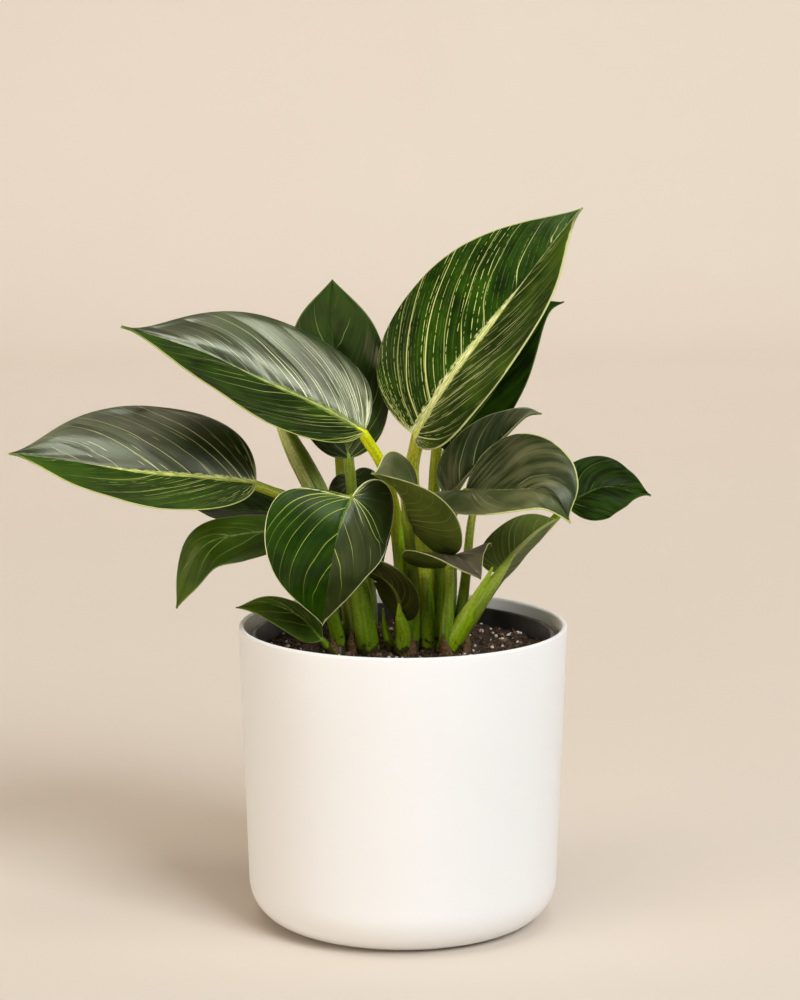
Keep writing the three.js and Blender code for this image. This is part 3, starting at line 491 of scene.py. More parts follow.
def leaf_face(name, deep, fresh, cream, rib, rib_wide, lines, gloss, dots=None, thinning=(0.4, 0.3),
              rough=0.42, edge=0.9, bands=(60.0, 0.4), rib_end=0.6, tip=0.3, border=None):
    """The upper side of a living leaf: a smooth waxy skin that mirrors the room as a soft grey
    sheen, dark green under it, with cream pinstripes, a pale ragged midrib and a pale edge.
    lines and dots are its whole and its broken pinstripes, thinning says from where along the leaf
    they fade and to what share, bands how many darker bands run along them and how strong, rib_end
    where along the leaf the midrib thins out, and tip how much fresher the tip is; a negative tip is
    painted shade, darker towards the tip. border is the colour of the edge where it is paler than
    the pinstripes, and then it stays pale to the tip."""
    material, tree = surface("leaf_skin_" + name, IOR=1.45 + 0.15 * max(gloss - 1, 0),
                             Specular_IOR_Level=min(gloss, 1), Specular_Tint=(1.0, 0.98, 0.72, 1.0))
    u, v, rib_away, edge_away, along, gap = blade_coordinates(tree)
    # the green: soft patches, darker bands between the veins, another tone at the tip, which is painted shade
    # where tip is negative
    patches = object_noise(tree, 16, 2.0)
    streaks = uv_noise(tree, u, v, bands[0], 1.2, 5.0)
    tone = ("sum", ("times", patches, 0.8), ("times", ("less", streaks, 0.5), bands[1]))
    tone = ("sum", tone, ("ease", along, 0.62, 1.0, 0.2, 0.2 + tip))
    green = ("blend", ("ease", tone, 0.42, 0.85), deep, fresh)
    # the pinstripes
    stripes = vein_lines(tree, u, v, gap, lines, 1.0)
    pale = ("larger", vein_lines(tree, u, v, gap, dots, 2.0), stripes) if dots else stripes
    clear = ("larger", ("ease", v, 0.04, 0.2), ("ease", along, 0.5, 0.66, 1.0, 0.0))
    pale = ("times", ("times", pale, clear), ("ease", along, thinning[0], 0.97, 1.0, thinning[1]))
    striped = ("blend", pale, green, cream)
    # the midrib: a ragged band of pale strands, which ends as a thin line
    ragged = ("ease", uv_noise(tree, rib_away, along, 0.9, 44.0, 9.0, 3.0), 0.3, 0.7, 0.68, 1.32)
    wide = ("times", ("range", along, 0.0, rib_end, rib_wide, rib_wide * 0.5),
            ("ease", along, rib_end - 0.12, rib_end + 0.08, 1.0, 0.25))
    on_rib = ("times", ("ease", ("over", rib_away, ("times", wide, ragged)), 0.55, 1.0, 1.0, 0.0),
              ("ease", along, rib_end - 0.1, rib_end + 0.15, 1.0, 0.35))
    strands = ("ease", uv_noise(tree, rib_away, along, 2.8, 24.0, 12.0, 3.0), 0.38, 0.62)
    ribbed = ("blend", on_rib, striped, ("blend", strands, *rib))
    # the edge, uneven in width
    uneven = ("times", uv_noise(tree, u, v, 26.0, 1.0, 4.0), 0.7)
    on_edge = ("times", ("ease", ("less", edge_away, uneven), 0.1, 0.7, 1.0, 0.0),
               ("ease", along, 0.86, 0.97, edge, edge if border else 0.2))
    height = ("sum", ("times", uv_noise(tree, u, v, 110.0, 3.0, 6.0, 1.0), 0.7),
              ("times", object_noise(tree, 1.2, 2.0), 0.3))
    return finish(material, ("blend", on_edge, ribbed, border or cream),
                  ("range", patches, 0.0, 1.0, rough - 0.07, rough + 0.07),
                  ("less", height, ("times", stripes, 0.4)), 0.4, 0.25)


def leaf_back(name, dull, pale, vein, veins):
    """The under side of a leaf: paler olive and duller, with raised light veins."""
    material, tree = surface("leaf_underside_" + name, IOR=1.45, Specular_IOR_Level=0.22)
    u, v, rib_away, edge_away, along, gap = blade_coordinates(tree)
    patches = object_noise(tree, 22, 3.0)
    lines = vein_lines(tree, u, v, gap, (veins, 0.2, 0.5, 0.95, 1.5, 0.6), 1.0)
    rib = ("ease", ("over", rib_away, ("ease", along, 0.0, 0.9, 1.4, 0.4)), 0.5, 1.0, 0.8, 0.0)
    light = ("larger", ("times", lines, 0.55), ("larger", rib, ("ease", edge_away, 0.3, 0.8, 1.0, 0.0)))
    relief = ("sum", uv_noise(tree, u, v, veins * 9.0, 8.0, 6.0, 1.0), lines)
    return finish(material, ("blend", light, ("blend", ("ease", patches, 0.15, 0.85), dull, pale), vein),
                  ("range", patches, 0.0, 1.0, 0.42, 0.57), relief, 0.4, 0.3)


def stalk_skin():
    """A living petiole: taut green skin over long fibres, a little waxy, its tone painted on the mesh
    from a dark foot to a lighter top, its own green with painted shade at the foot and painted
    light at the top, and soiled where it leaves the mix."""
    material, tree = surface("petiole_skin", IOR=1.45, Specular_IOR_Level=0.35, Roughness=0.4)
    tone = node(tree, "painted", attribute_name="tone").node.outputs["Color"]
    fibres = uv_noise(tree, *uv_ways(tree), 22.0, 0.06, 1.0, 3.0)
    spots = object_noise(tree, 1.1, 3.0)
    mottle = ("sum", ("times", fibres, 0.6), ("times", spots, 0.4))
    streaked = ("blend", ("ease", mottle, 0.38, 0.62), ("multiply", 1.0, tone, "ccd29c"), tone)
    up = node(tree, "split", ("coordinates",)).node.outputs[2]
    soil = ("sum", object_noise(tree, 3.2, 4.0), ("range", up, MIX_TOP * MM, POT_HEIGHT * MM, 0.22, -0.3))
    return finish(material, ("blend", ("ease", soil, 0.5, 0.6, 0.0, 0.9), streaked, "3a2a18"), None,
                  ("sum", fibres, ("times", spots, 0.4)), 0.5, 0.3)


def dry_scale():
    """A dead bract at the foot of the shoots: papery, brown, fibrous and quite matt."""
    material, tree = surface("dry_brown_bract", IOR=1.4, Roughness=0.8)
    fibres = uv_noise(tree, *uv_ways(tree), 50.0, 0.2, 2.0, 3.0)
    return finish(material, ("blend", ("ease", fibres, 0.35, 0.65), "3b2714", "86653c"), None,
                  fibres, 0.6, 0.4)


def pot_plastic():
    """Injection-moulded white polypropylene with a fine satin grain: soft wide highlights, and a wall
    thin enough to let a little light through."""
    material, tree = surface("moulded_white_polypropylene", IOR=1.49, Subsurface_Weight=0.2,
                             Subsurface_Radius=(1.0, 0.9, 0.8), Subsurface_Scale=6 * MM)
    cloud = object_noise(tree, 45, 3.0)
    return finish(material, ("blend", cloud, "f6f6f6", "f9f9f9"), ("ease", cloud, 0.2, 0.8, 0.38, 0.46),
                  object_noise(tree, 0.5, 2.0), 0.12, 0.05)


def liner_plastic():
    """Thin vacuum-formed recycled polypropylene: dark grey and faintly streaked."""
    material, tree = surface("vacuum_formed_grey_polypropylene", IOR=1.49, Specular_IOR_Level=0.35)
    cloud = object_noise(tree, 9, 4.0, (1, 1, 0.3))
    return finish(material, ("blend", ("ease", cloud, 0.35, 0.75), "141311", "262320"),
                  ("ease", cloud, 0.3, 0.8, 0.35, 0.6), cloud, 0.2, 0.2)


def peat():
    """Moist peat and bark: near black with brown fibres, no shine but for damp crumbs."""
    material, tree = surface("moist_peat_and_bark", IOR=1.4)
    clods, fine = object_noise(tree, 3.0, 4.0), object_noise(tree, 0.7, 3.0)
    tone = ("ease", ("sum", ("times", clods, 0.6), ("times", fine, 0.45)), 0.35, 0.75)
    return finish(material, ("blend", tone, "1a130c", "4d3a28"), ("ease", clods, 0.3, 0.7, 0.7, 0.95),
                  fine, 0.8, 0.5)


def crumb(name, dark, light):
    """One kind of loose grain: broken, dry and matt, two tones from grain to grain."""
    material, tree = surface(name, IOR=1.4, Roughness=0.9)
    return finish(material, ("blend", ("ease", object_noise(tree, 2.2, 2.0), 0.35, 0.65), dark, light),
                  None, object_noise(tree, 0.4, 2.0), 0.5, 0.2)


# The faces of the leaves, some with a finish of their own on each half blade.
GREEN_RIB = dict(rib=("3f5a0c", "9aa838"), rib_end=0.5, rib_wide=2.9)
PALE_RIB = dict(rib=("7a9018", "dadc7c"), rib_wide=2.4)
THIN_RIB = dict(rib=("5a6230", "7e8450"), rib_wide=0.7)
# The pale border of LIME is the edge's own cream, painted lighter to stand for light shining through the thin
# edge.
LIME = dict(rib=("2c4a0a", "5c7a24"), rib_end=0.3, rib_wide=1.3, border="f6f8bc")
# Shared by the faces whose grey-brown tones are painted sheen.
GREY_SHEEN = dict(rib=("4a5520", "767a48"), rib_wide=0.8, thinning=(0.2, 0.2), border="ccd684")
FACES = {
    "bold_left": dict(
        deep="0f2403", fresh="2f5204", cream="e2e68e", rib=("b4be5c", "f4f4bc"), rib_wide=4.1,
        lines=(14, 0.28, 0.5, 1.0, 2.0, 0.6), dots=(58, 0.16, 0.1, 0.52, 26.0, 0.8),
        thinning=(0.75, 0.05), gloss=0.15, rough=0.38, edge=0.6, tip=0.15),
    "bold_right": dict(
        deep="1f300b", fresh="3f5613", cream="d2d592", rib=("a9b64e", "eff0ae"), rib_wide=4.1,
        lines=(17, 0.22, 0.2, 0.85, 2.0, 0.15), dots=(64, 0.14, 0.1, 0.45, 7.0, 0.2), thinning=(0.5, 0.3),
        gloss=0.15),
    # Its negative tip is painted shade: the green darkens towards the tip.
    "waxy_pinstripes": dict(
        GREEN_RIB, deep="17240b", fresh="2e4414", cream="dde0ac", lines=(15, 0.21, 0.25, 1.0, 1.5, 0.5),
        dots=(80, 0.15, 0.0, 0.5, 4.0, 0.0), thinning=(0.1, 0.15), gloss=1.5, rough=0.37, edge=0.6,
        bands=(44.0, 0.3), tip=-0.8),
    "pinstripes_below": dict(
        GREEN_RIB, deep="122206", fresh="2c470a", cream="b8c268", lines=(24, 0.14, 0.15, 0.85, 1.5, 0.6),
        dots=(70, 0.11, 0.0, 0.35, 4.0, 0.4), thinning=(0.1, 0.15), gloss=0.15, rough=0.45),
    "waxy_arcs": dict(
        PALE_RIB, deep="101c05", fresh="26380e", cream="cdd092", lines=(16, 0.18, 0.35, 1.0, 1.2, 0.4),
        dots=(60, 0.13, 0.0, 0.15, 5.0, 0.0), thinning=(0.6, 0.5), gloss=0.9, rough=0.36, edge=0.5,
        tip=0.0),
    "arcs_below": dict(
        PALE_RIB, deep="1c3007", fresh="36540c", cream="cdd27c", lines=(11, 0.15, 0.3, 0.85, 3.0, 0.4),
        dots=(60, 0.15, 0.0, 0.45, 8.0, 0.0), thinning=(0.5, 0.3), gloss=0.15),
    "lime_arcs": dict(
        LIME, deep="142c03", fresh="2c4d08", cream="b0c24e", lines=(16, 0.17, 0.3, 0.9, 1.3, 0.35),
        thinning=(0.45, 0.1), gloss=0.2, rough=0.36),
    "lime_arcs_shaded": dict(
        LIME, deep="1b2c08", fresh="3a461a", cream="bcc864", lines=(15, 0.16, 0.1, 0.7, 1.6, 0.35),
        thinning=(0.3, 0.1), gloss=0.6),
    # Painted sheen and shade: the grey-brown tone, in strong bands between the veins, stands in for the wax's
    # grey sheen, and the negative tip paints shade, darker towards the tip.
    "pleated_grey": dict(
        GREY_SHEEN, deep="1e2d0c", fresh="525634", cream="9da06c", lines=(22, 0.13, 0.0, 0.25, 1.6, 0.2),
        gloss=0.8, bands=(26.0, 1.5), tip=-1.0),
    # Painted sheen: its olive-grey tones stand in for the wax's sheen over the green.
    "smooth_grey": dict(
        GREY_SHEEN, deep="3e4822", fresh="6a6c46", cream="a8ae70", lines=(16, 0.13, 0.0, 0.25, 1.6, 0.2),
        gloss=0.6, bands=(5.0, 0.5)),
    # Partly painted sheen: the grey fresh tone, in strong bands over dark olive green, stands in for the
    # wax's grey sheen.
    "olive_grey": dict(
        THIN_RIB, deep="20300c", fresh="4e4c2a", cream="979c66", lines=(12, 0.16, 0.2, 0.6, 1.6, 0.5),
        gloss=0.5, rough=0.44, edge=0.7, bands=(20.0, 1.3)),
    # Painted sheen: its grey-brown tones stand in for the wax's sheen over dark green.
    "dusky": dict(
        THIN_RIB, deep="262314", fresh="423b2a", cream="a5aa70", lines=(9, 0.16, 0.2, 0.4, 1.6, 0.5),
        gloss=0.45, rough=0.5),
    "faint": dict(
        deep="182a09", fresh="2f480f", cream="84954e", rib=("3d5216", "6d7f3e"), rib_wide=0.9,
        lines=(10, 0.2, 0.15, 0.85, 1.6, 0.5), thinning=(0.6, 0.3), gloss=0.4, rough=0.38, edge=0.5),
    "fresh": dict(
        deep="2b4208", fresh="46600f", cream="8f9f48", rib=("4f6a16", "7a8e3a"), rib_wide=0.9,
        lines=(11, 0.16, 0.0, 0.5, 1.6, 0.4), gloss=0.3, edge=0.5),
    "dark": dict(
        deep="0f1c03", fresh="233d07", cream="6d7c3c", rib=("2c4010", "4c6024"), rib_wide=0.7,
        lines=(14, 0.14, 0.0, 0.4, 1.6, 0.3), gloss=0.08, rough=0.4, edge=0.4, bands=(22.0, 1.1)),
}
# A copy with painted shade: its negative tip darkens it towards the tip, where the leaf curls down; its gloss
# is lower.
FACES["smooth_grey_dark_tip"] = dict(FACES["smooth_grey"], tip=-1.2, gloss=0.45)
FACES = {name: leaf_face(name, **look) for name, look in FACES.items()}
BACKS = {"olive": leaf_back("olive", "384816", "5c6c28", "98a25a", 15),
         "deep": leaf_back("deep", "394613", "61702a", "989f5a", 15),
         "shaded": leaf_back("shaded", "232608", "393c12", "6d7030", 13)}
STALK, BRACT = stalk_skin(), dry_scale()
POT, LINER, PEAT = pot_plastic(), liner_plastic(), peat()

# ---- leaves
LOBE_SHARE = 0.36  # the share of the veins that end on the lobe
CROWDING = 0.75  # below 1, the side veins stand closer near the petiole
SWEEP = 0.35  # how far the side veins turn towards the tip before they meet the edge
LARGE = 50  # leaves wider than this over both halves get the finest mesh
RIB_STEPS = 192


def cubic(points, t):
    """Points of a plane Bezier curve."""
    p = np.asarray(points, float)
    t = np.asarray(t)[..., None]
    return (1 - t)**3 * p[0] + 3 * t * (1 - t)**2 * p[1] + 3 * t**2 * (1 - t) * p[2] + t**3 * p[3]


def half_edge(s, lobe, widest, tip):
    """The edge of a flat half blade, from the notch round the lobe to the tip."""
    round_lobe = cubic([(0, 0), (0.1, -1.75 * lobe), (1, -1.25 * lobe), (1, widest)],
                       np.clip(s / LOBE_SHARE, 0, 1))
    to_tip = cubic([(1, widest), (1, widest + 0.36), (tip, 0.86), (0, 1)],
                   np.clip((s - LOBE_SHARE) / (1 - LOBE_SHARE), 0, 1))
    return np.where((s < LOBE_SHARE)[..., None], round_lobe, to_tip)


def flat_veins(edge, size, w, root_y, bulge):
    """The flat half blade: side veins that leave the midrib at root_y and bend at a knee to the edge. w is
    how far out along them a point is."""
    root = np.stack([0 * root_y, root_y], -1)
    span = edge - root
    bow = bulge * (1 - root_y) * np.clip(span[..., 1], 0, 1)
    knee = root + span * (0.6, 0.42) + np.stack([bow, 0 * bow], -1)
    heading = unit(np.gradient(edge[:, 0] * size, axis=0))[:, None]
    swept = edge - heading * np.linalg.norm(span * size, axis=-1, keepdims=True) * 0.5 / size
    knee = (1 - SWEEP) * knee + SWEEP * swept
    return np.moveaxis((1 - w)**2 * root + 2 * (1 - w) * w * knee + w * w * edge, -1, 0)


def pleats(s, t, main, room, seed):
    """The relief of a blade: sunk along the main veins and raised between them where they have room,
    with broad dents over all, and level at the midrib and the edge."""
    calm = step(0, 0.12, t) * step(0, 0.1, 1 - t) * step(0.6, 4, room)
    dents = (np.sin(9.3 * s + seed) * np.sin(4.6 * t + seed * 1.7)
             + 0.6 * np.sin(11 * s - 4 * t + seed * 0.3)) * 1.1
    return (np.abs(np.sin(math.pi * main))**0.7 - 0.6 + dents * step(0, 0.3, t) * step(0, 0.15, 1 - t)) * calm


def leaf_piece(name, leaf):
    """A leaf blade of fine relief: pleats between the side veins, a sunk midrib, a thin edge."""
    veins, cells = (168, 34) if sum(leaf["half"]) > LARGE else (110, 22)
    line, length = smooth_line(leaf["rib"], RIB_STEPS)
    tangent, face, side = frames_along(line, leaf["face"])
    along_s = np.linspace(0, 1, veins + 1)
    out_t = np.linspace(0, 1, cells + 1)
    out_t = 0.6 * out_t + 0.2 * (1 - np.cos(np.pi * out_t))  # closer rows at the midrib and the edge
    s, t = np.meshgrid(along_s, out_t, indexing="ij")
    w = t[..., None]
    crowded, fan = s**CROWDING, leaf["fan"]
    root_y = np.clip((s - fan) / (1 - fan), 0, 1)**2.0
    seed = sum(ord(c) for c in name)
    shape = Shape()
    for half, sign in enumerate((-1, 1)):
        width, lobe, widest, tip, level, fold, curl, margin = (
            leaf[key][half] for key in ("half", "lobe", "widest", "tip", "level", "fold", "curl", "margin"))
        size = np.array([width, length])
        edge = half_edge(along_s, lobe, widest, tip)[:, None]
        flat_x, flat_y = flat_veins(edge, size, w, root_y, leaf["bulge"])
        # folded up along the midrib, and curled
        centre = at_share(line, flat_y) + tangent[0] * (np.minimum(flat_y, 0) * length)[..., None]
        normal, across = unit(at_share(face, flat_y)), sign * unit(at_share(side, flat_y))
        bent = math.radians(fold) * (1 - level * step(0.5, 0.95, flat_y))
        turn = math.radians(curl) / width
        reach = flat_x * width
        end = bent + turn * reach
        if abs(turn) > 1e-6:
            out, up = (np.sin(end) - np.sin(bent)) / turn, (np.cos(bent) - np.cos(end)) / turn
        else:
            out, up = reach * np.cos(bent), reach * np.sin(bent)
        skyward = -np.sin(end)[..., None] * across + np.cos(end)[..., None] * normal
        ripple = leaf["wave"] * flat_x**2 * np.sin(5 * math.pi * s + half)
        middle = centre + across * out[..., None] + normal * up[..., None] + skyward * ripple[..., None]
        # how far apart the veins stand, per unit of the vein coordinate
        ds = np.gradient(middle, axis=0) / np.maximum(np.gradient(crowded, axis=0), 1e-6)[..., None]
        dt = unit(np.gradient(middle, axis=1) + 1e-9)
        share = np.clip(flat_y, 0, 1)
        gap = np.maximum(np.linalg.norm(np.cross(ds, dt), axis=-1),
                         0.35 * length * np.clip(1.5 * flat_y, 0, 1))
        lift = leaf["quilt"] * pleats(s, t, crowded * leaf["pleats"], gap / leaf["pleats"], seed)
        middle = middle + skyward * lift[..., None]
        # both skins, thinner at the edge and parted by the midrib, and the rim between them
        rib_side = np.where(w < 1e-9, normal, skyward)
        ridge = np.exp(-(reach / 1.5)**2) * (1 - 0.75 * share)
        thin = 0.5 * BLADE * (1 - 0.45 * t**8)
        top = middle + rib_side * (thin - 0.45 * ridge)[..., None]
        bottom = middle - rib_side * (thin + 0.9 * ridge)[..., None]
        flat = np.stack([reach, flat_y * length], -1)
        to_edge = np.linalg.norm(flat[:, :, None] - edge[:, 0] * size, axis=-1).min(-1)
        painted = dict(rib=reach, edge=to_edge / margin / (0.7 + 0.5 * share), along=share, gap=gap)
        uv = np.stack([crowded + 2 * half, t], -1)
        shape.grid(top, uv, half, flip=half == 1, **painted)
        shape.grid(bottom, uv, 2, flip=half == 0, **painted)
        rim = np.stack([top[:, -1], bottom[:, -1]], 1)
        shape.grid(rim, uv[:, -2:] * [1, 0] + [0, 1], half, flip=half == 1,
                   **{key: value[:, -2:] * (key != "edge") for key, value in painted.items()})
    return shape.build(name + "_blade", *(FACES[look] for look in leaf["finish"]), BACKS[leaf["back"]])


for name, leaf in LEAVES.items():
    leaf.update({**USUAL, **leaf})
    leaf.update({key: (leaf[key],) * 2 for key in PAIRED if not isinstance(leaf[key], tuple)})
    settle(leaf_piece(name, leaf), "leaf", name)

# ---- petioles
STEM_STEPS, KEEL_STEPS = 56, 14
KEEL_TIP = 0.5  # the radius in which a keel ends
LEAN_AT = 20  # the step of a stem that shows which way the petiole leans
SHEATH_STEPS, SHEATH_COLUMNS, SHEATH_THICK = 40, 19, 0.55


def round_line(line, normal, side, reach, angle):
    """Points round a line, as far from it as reach says and at angles from its side to its face."""
    return (line[:, None] + side[:, None] * (reach * np.cos(angle))[..., None]
            + normal[:, None] * (reach * np.sin(angle))[..., None])


def rod(shape, line, radii, tones, face, sides=22, section=None):
    """A round or grooved rod along a line, closed at both ends. section(angle, share) gives its
    outline as a share of the radius, and tones its two ends' tones or a function like it."""
    share = np.linspace(0, 1, len(line))
    _, normal, side = frames_along(line, face)
    angle = full_turn(sides)[None]
    reach = at_share(radii, share)[:, None] * (section(angle, share[:, None]) if section else 1 + 0 * angle)
    points = round_line(line, normal, side, reach, angle)
    uv = round_uv(angle, run_along(line))
    if callable(tones):
        tone = tones(*np.broadcast_arrays(angle, share[:, None]))
    else:
        tone = mixed(*tones, step(0.0, 1.0, share)[:, None, None])
    caps = [np.repeat(ring.mean(1, keepdims=True), sides, 1) for ring in (points[:1], points[-1:])]
    shape.grid(np.concatenate([caps[0], points, caps[1]]), np.concatenate([uv[:1], uv, uv[-1:]]),
               closed=True, flip=True, tone=np.concatenate([tone[:1], tone, tone[-1:]]))


def crown_heart(shoot):
    """The point in a shoot's crown from which its petioles and sheaths start."""
    return (*SHOOTS[shoot][0], MIX_TOP - HEART_DEPTH)


def grooved(angle, share):
    """A petiole's outline: a shallow channel on its face, wings beside it low down."""
    channel = np.exp(-((angle - math.pi / 2) / 0.42)**2)
    wings = np.exp(-((np.abs(angle - math.pi / 2) - 0.75) / 0.3)**2)
    return 1 - 0.16 * channel + 0.1 * wings * (1 - share)


def petiole(shape, leaf):
    """A leaf's petiole: up from the crown, then on under the midrib as its keel."""
    line, _ = smooth_line(leaf["rib"], RIB_STEPS)
    _, face, _ = frames_along(line, leaf["face"])

    def under(share, radius):
        """A place below the midrib, so deep that the rod stays under the blade."""
        sink = 0.75 + 0.5 * step(0, 0.08, share)
        return tuple(at_share(line, share) - at_share(face, share) * radius * sink)

    last = leaf["radii"][-1]
    stem, _ = smooth_line([crown_heart(leaf["shoot"]), *leaf["path"], under(0.0, last)], STEM_STEPS)
    keel = max(leaf["keel"], 0.12)
    shares = np.linspace(0, keel, KEEL_STEPS + 1)[1:]
    keel_radii = last + (KEEL_TIP - last) * (shares / keel)**0.8
    stem_radii = at_share(leaf["radii"], np.linspace(0, 1, STEM_STEPS + 1))
    stem = np.vstack([stem, [under(share, radius) for share, radius in zip(shares, keel_radii)]])
    out_x, out_y, _ = stem[LEAN_AT]
    rod(shape, stem, np.concatenate([stem_radii, keel_radii]), (leaf["foot"], leaf["top"]),
        (-out_x, -out_y, 1e-3), section=grooved)


def sheath(shape, path, radii, tones, kind=0, face=(0.3, -1), wrap=1.0):
    """A pointed sheath or bract: a thin shell that wraps round a petiole and opens towards its tip."""
    line, _ = smooth_line(path, SHEATH_STEPS)
    share = np.linspace(0, 1, SHEATH_STEPS + 1)
    _, normal, side = frames_along(line, (*face, 0.2))
    across = np.linspace(-1, 1, SHEATH_COLUMNS)[None]
    angle = math.pi / 2 + across * (math.pi * (0.95 - 0.45 * share) * wrap)[:, None]
    uv = np.stack([angle / (2 * math.pi), np.broadcast_to(share[:, None] * 60, angle.shape)], -1)
    tone = mixed(*tones, (np.abs(across)**3)[..., None])
    radius = at_share(radii, share)[:, None]
    outer, inner = (round_line(line, normal, side, (radius - thick).clip(0.15), angle)
                    for thick in (0.0, SHEATH_THICK))
    shape.grid(outer, uv, kind, flip=True, tone=tone)
    shape.grid(inner, uv, kind, tone=tone)
    for column in (0, -1):
        strip = np.stack([outer[:, column], inner[:, column]], 1)
        shape.grid(strip, uv[:, :2], kind, flip=column == -1, tone=tone[:, [column, column]])
    for row in (0, -1):
        shape.grid(np.stack([outer[row], inner[row]]), uv[:2], kind, flip=row == -1, tone=tone)


for name, (spot, radius, bracts) in SHOOTS.items():
    shape = Shape()
    line, _ = smooth_line([(*spot, MIX_TOP + up) for up in (-CROWN_DEPTH, -8, 3)], 24)
    rod(shape, line, (radius * 0.8, radius, radius, radius * 0.55), ("4a4418", "6c8210"), (0, -1, 0), 36)
    for leaf in LEAVES.values():
        if leaf["shoot"] == name:
            petiole(shape, leaf)
    for owner, path, radii in SHEATHS:
        if owner == name:
            sheath(shape, [crown_heart(name), *path], radii, ("98b814", "e4e86c"))
    for turn in bracts:
        out = np.array([math.cos(math.radians(turn)), math.sin(math.radians(turn))])
        foot = np.array(spot) + out * radius * 0.75
        path = [(*(foot + out * lean), MIX_TOP + up)
                for lean, up in ((0, -2), (0.6, 4), (1.8 + turn % 3, 9 + turn % 7))]
        sheath(shape, path, (radius * 0.7, radius * 0.55, 0.3), ("86653c", "86653c"), 1, out, 0.5)
    if name == "centre_left":
        line, _ = smooth_line([crown_heart(name), *SPEAR_STUB], 30)
        rod(shape, line, (4, 3.8, 3.4), ("63790c", "a3b450"), (0, -1, 0))
    settle(shape.build("shoot_" + name + "_petioles", STALK, BRACT), "petiole", "shoot_" + name)

# The furled leaf: rolled like a scroll, with the loose edge as a step that runs up its front.
SEAM = 1.77  # radians round the scroll where its loose edge ends, nearly at the front


def past_seam(angle):
    """The share of a full turn from the seam on."""
    return ((angle - SEAM) / (2 * math.pi)) % 1.0


def scroll(angle, share):
    """The outline of a scroll: it grows round from its seam to a full lip beside it."""
    turn = past_seam(angle)
    open_lip = 0.06 * np.exp(-((1 - turn) / 0.05)**2) * step(0.55, 0.8, share)
    return 0.87 + 0.13 * turn + open_lip


def scroll_tone(angle, share):
    """Pale green, with painted shade: darker where the blade lies double beside the seam, and dark brown in
    the seam's crease.
    """
    turn, share = past_seam(angle)[..., None], share[..., None]
    tone = mixed("d2da8c", "7c9430", step(0.72, 0.8, turn) * step(0.35, 0.6, share))
    tone = mixed(tone, "5a4f24", np.exp(-(turn / 0.012)**2) + 0.5 * np.exp(-((1 - turn) / 0.01)**2))
    return mixed(tone, "8f9a3c", step(0.9, 1.0, share))


foot = np.array(SPEAR_STUB[-1], float)
line, _ = smooth_line([tuple(foot + unit(np.array(SPEAR[0]) - foot) * 0.6), *SPEAR], 70)
shape = Shape()
rod(shape, line, SPEAR_RADII, scroll_tone, (0.4, -1, 0.2), 112, scroll)
settle(shape.build("new_leaf_scroll", STALK), "new_leaf", "new_leaf_spear")

# ---- pots


def arc(cx, cy, radius, start, end, steps):
    """Points of a round from one angle to another, in degrees."""
    angle = np.radians(np.linspace(start, end, steps + 1))
    return [(cx + radius * math.cos(a), cy + radius * math.sin(a)) for a in angle]


def turned(name, profile, segments, material):
    """A profile of (radius, height) turned round the upright axis, closed on itself."""
    profile = np.array(profile)
    angle, radius, height = full_turn(segments), profile[:, :1], profile[:, 1:]
    points = np.stack(np.broadcast_arrays(radius * np.cos(angle), radius * np.sin(angle), height), -1)
    shape = Shape()
    shape.grid(points, round_uv(angle, run_along(profile)), closed=True, flip=True)
    return shape.build(name, material)


MIDDLE = 60  # the height of a ring about half way up both pots' walls
WALL_AT = ((73.4, MIDDLE), (74.7, 100))  # the outer pot's radius at two heights
lip, foot_x, inside = WALL / 2, POT_BASE_RADIUS - FOOT_RADIUS, FOOT_RADIUS - WALL
settle(turned("outer_pot_shell", [
    (0, 0), (foot_x * 0.5, 0), (foot_x - 0.5, 0),
    *arc(foot_x, FOOT_RADIUS, FOOT_RADIUS, -90, 0, 20),
    *WALL_AT,
    *arc(RIM_RADIUS - lip, POT_HEIGHT - lip, lip, 0, 180, 12),
    *((radius - WALL, height) for radius, height in reversed(WALL_AT)),
    *arc(foot_x, FLOOR + inside, inside, 0, -90, 12),
    (foot_x * 0.5, FLOOR), (0, FLOOR),
], 224, POT), "outer_pot", "outer_pot")


def nursery_radius(z):
    """Outer radius of the nursery pot's wall at a height."""
    share = (z - NURSERY_FLOOR) / (NURSERY_TOP - NURSERY_LIP - NURSERY_FLOOR)
    return NURSERY_BASE_RADIUS + share * (NURSERY_RIM_RADIUS - NURSERY_LIP / 2 - NURSERY_BASE_RADIUS)


under_lip, top, rim, low = NURSERY_TOP - NURSERY_LIP, NURSERY_TOP, NURSERY_RIM_RADIUS, NURSERY_FLOOR
neck, middle = nursery_radius(under_lip), nursery_radius(MIDDLE)
liner = turned("nursery_pot_shell", [
    (0, low), (DRAIN_CIRCLE, low), (NURSERY_BASE_RADIUS, low), (middle, MIDDLE), (neck, under_lip),
    (rim - 0.3, under_lip), (rim, under_lip + 0.3), (rim, top - 0.5), (rim - 0.2, top - 0.15),
    (rim - 0.6, top), (neck - NURSERY_WALL + 0.4, top), (neck - NURSERY_WALL, top - 0.5),
    (middle - NURSERY_WALL, MIDDLE), (NURSERY_BASE_RADIUS - NURSERY_WALL, low + NURSERY_WALL),
    (0, low + NURSERY_WALL),
], 160, LINER)
drills = bmesh.new()
for turn in full_turn(DRAIN_HOLES):
    spot = Vector((DRAIN_CIRCLE * math.cos(turn), DRAIN_CIRCLE * math.sin(turn), low)) * MM
    bmesh.ops.create_cone(drills, cap_ends=True, segments=24, radius1=DRAIN_HOLE_RADIUS * MM,
                          radius2=DRAIN_HOLE_RADIUS * MM, depth=6 * MM, matrix=Matrix.Translation(spot))
drill = place("drills", bpy.data.meshes.new("drills"))
drills.to_mesh(drill.data)
drills.free()
cut = liner.modifiers.new("drain holes", "BOOLEAN")
cut.operation, cut.object = "DIFFERENCE", drill
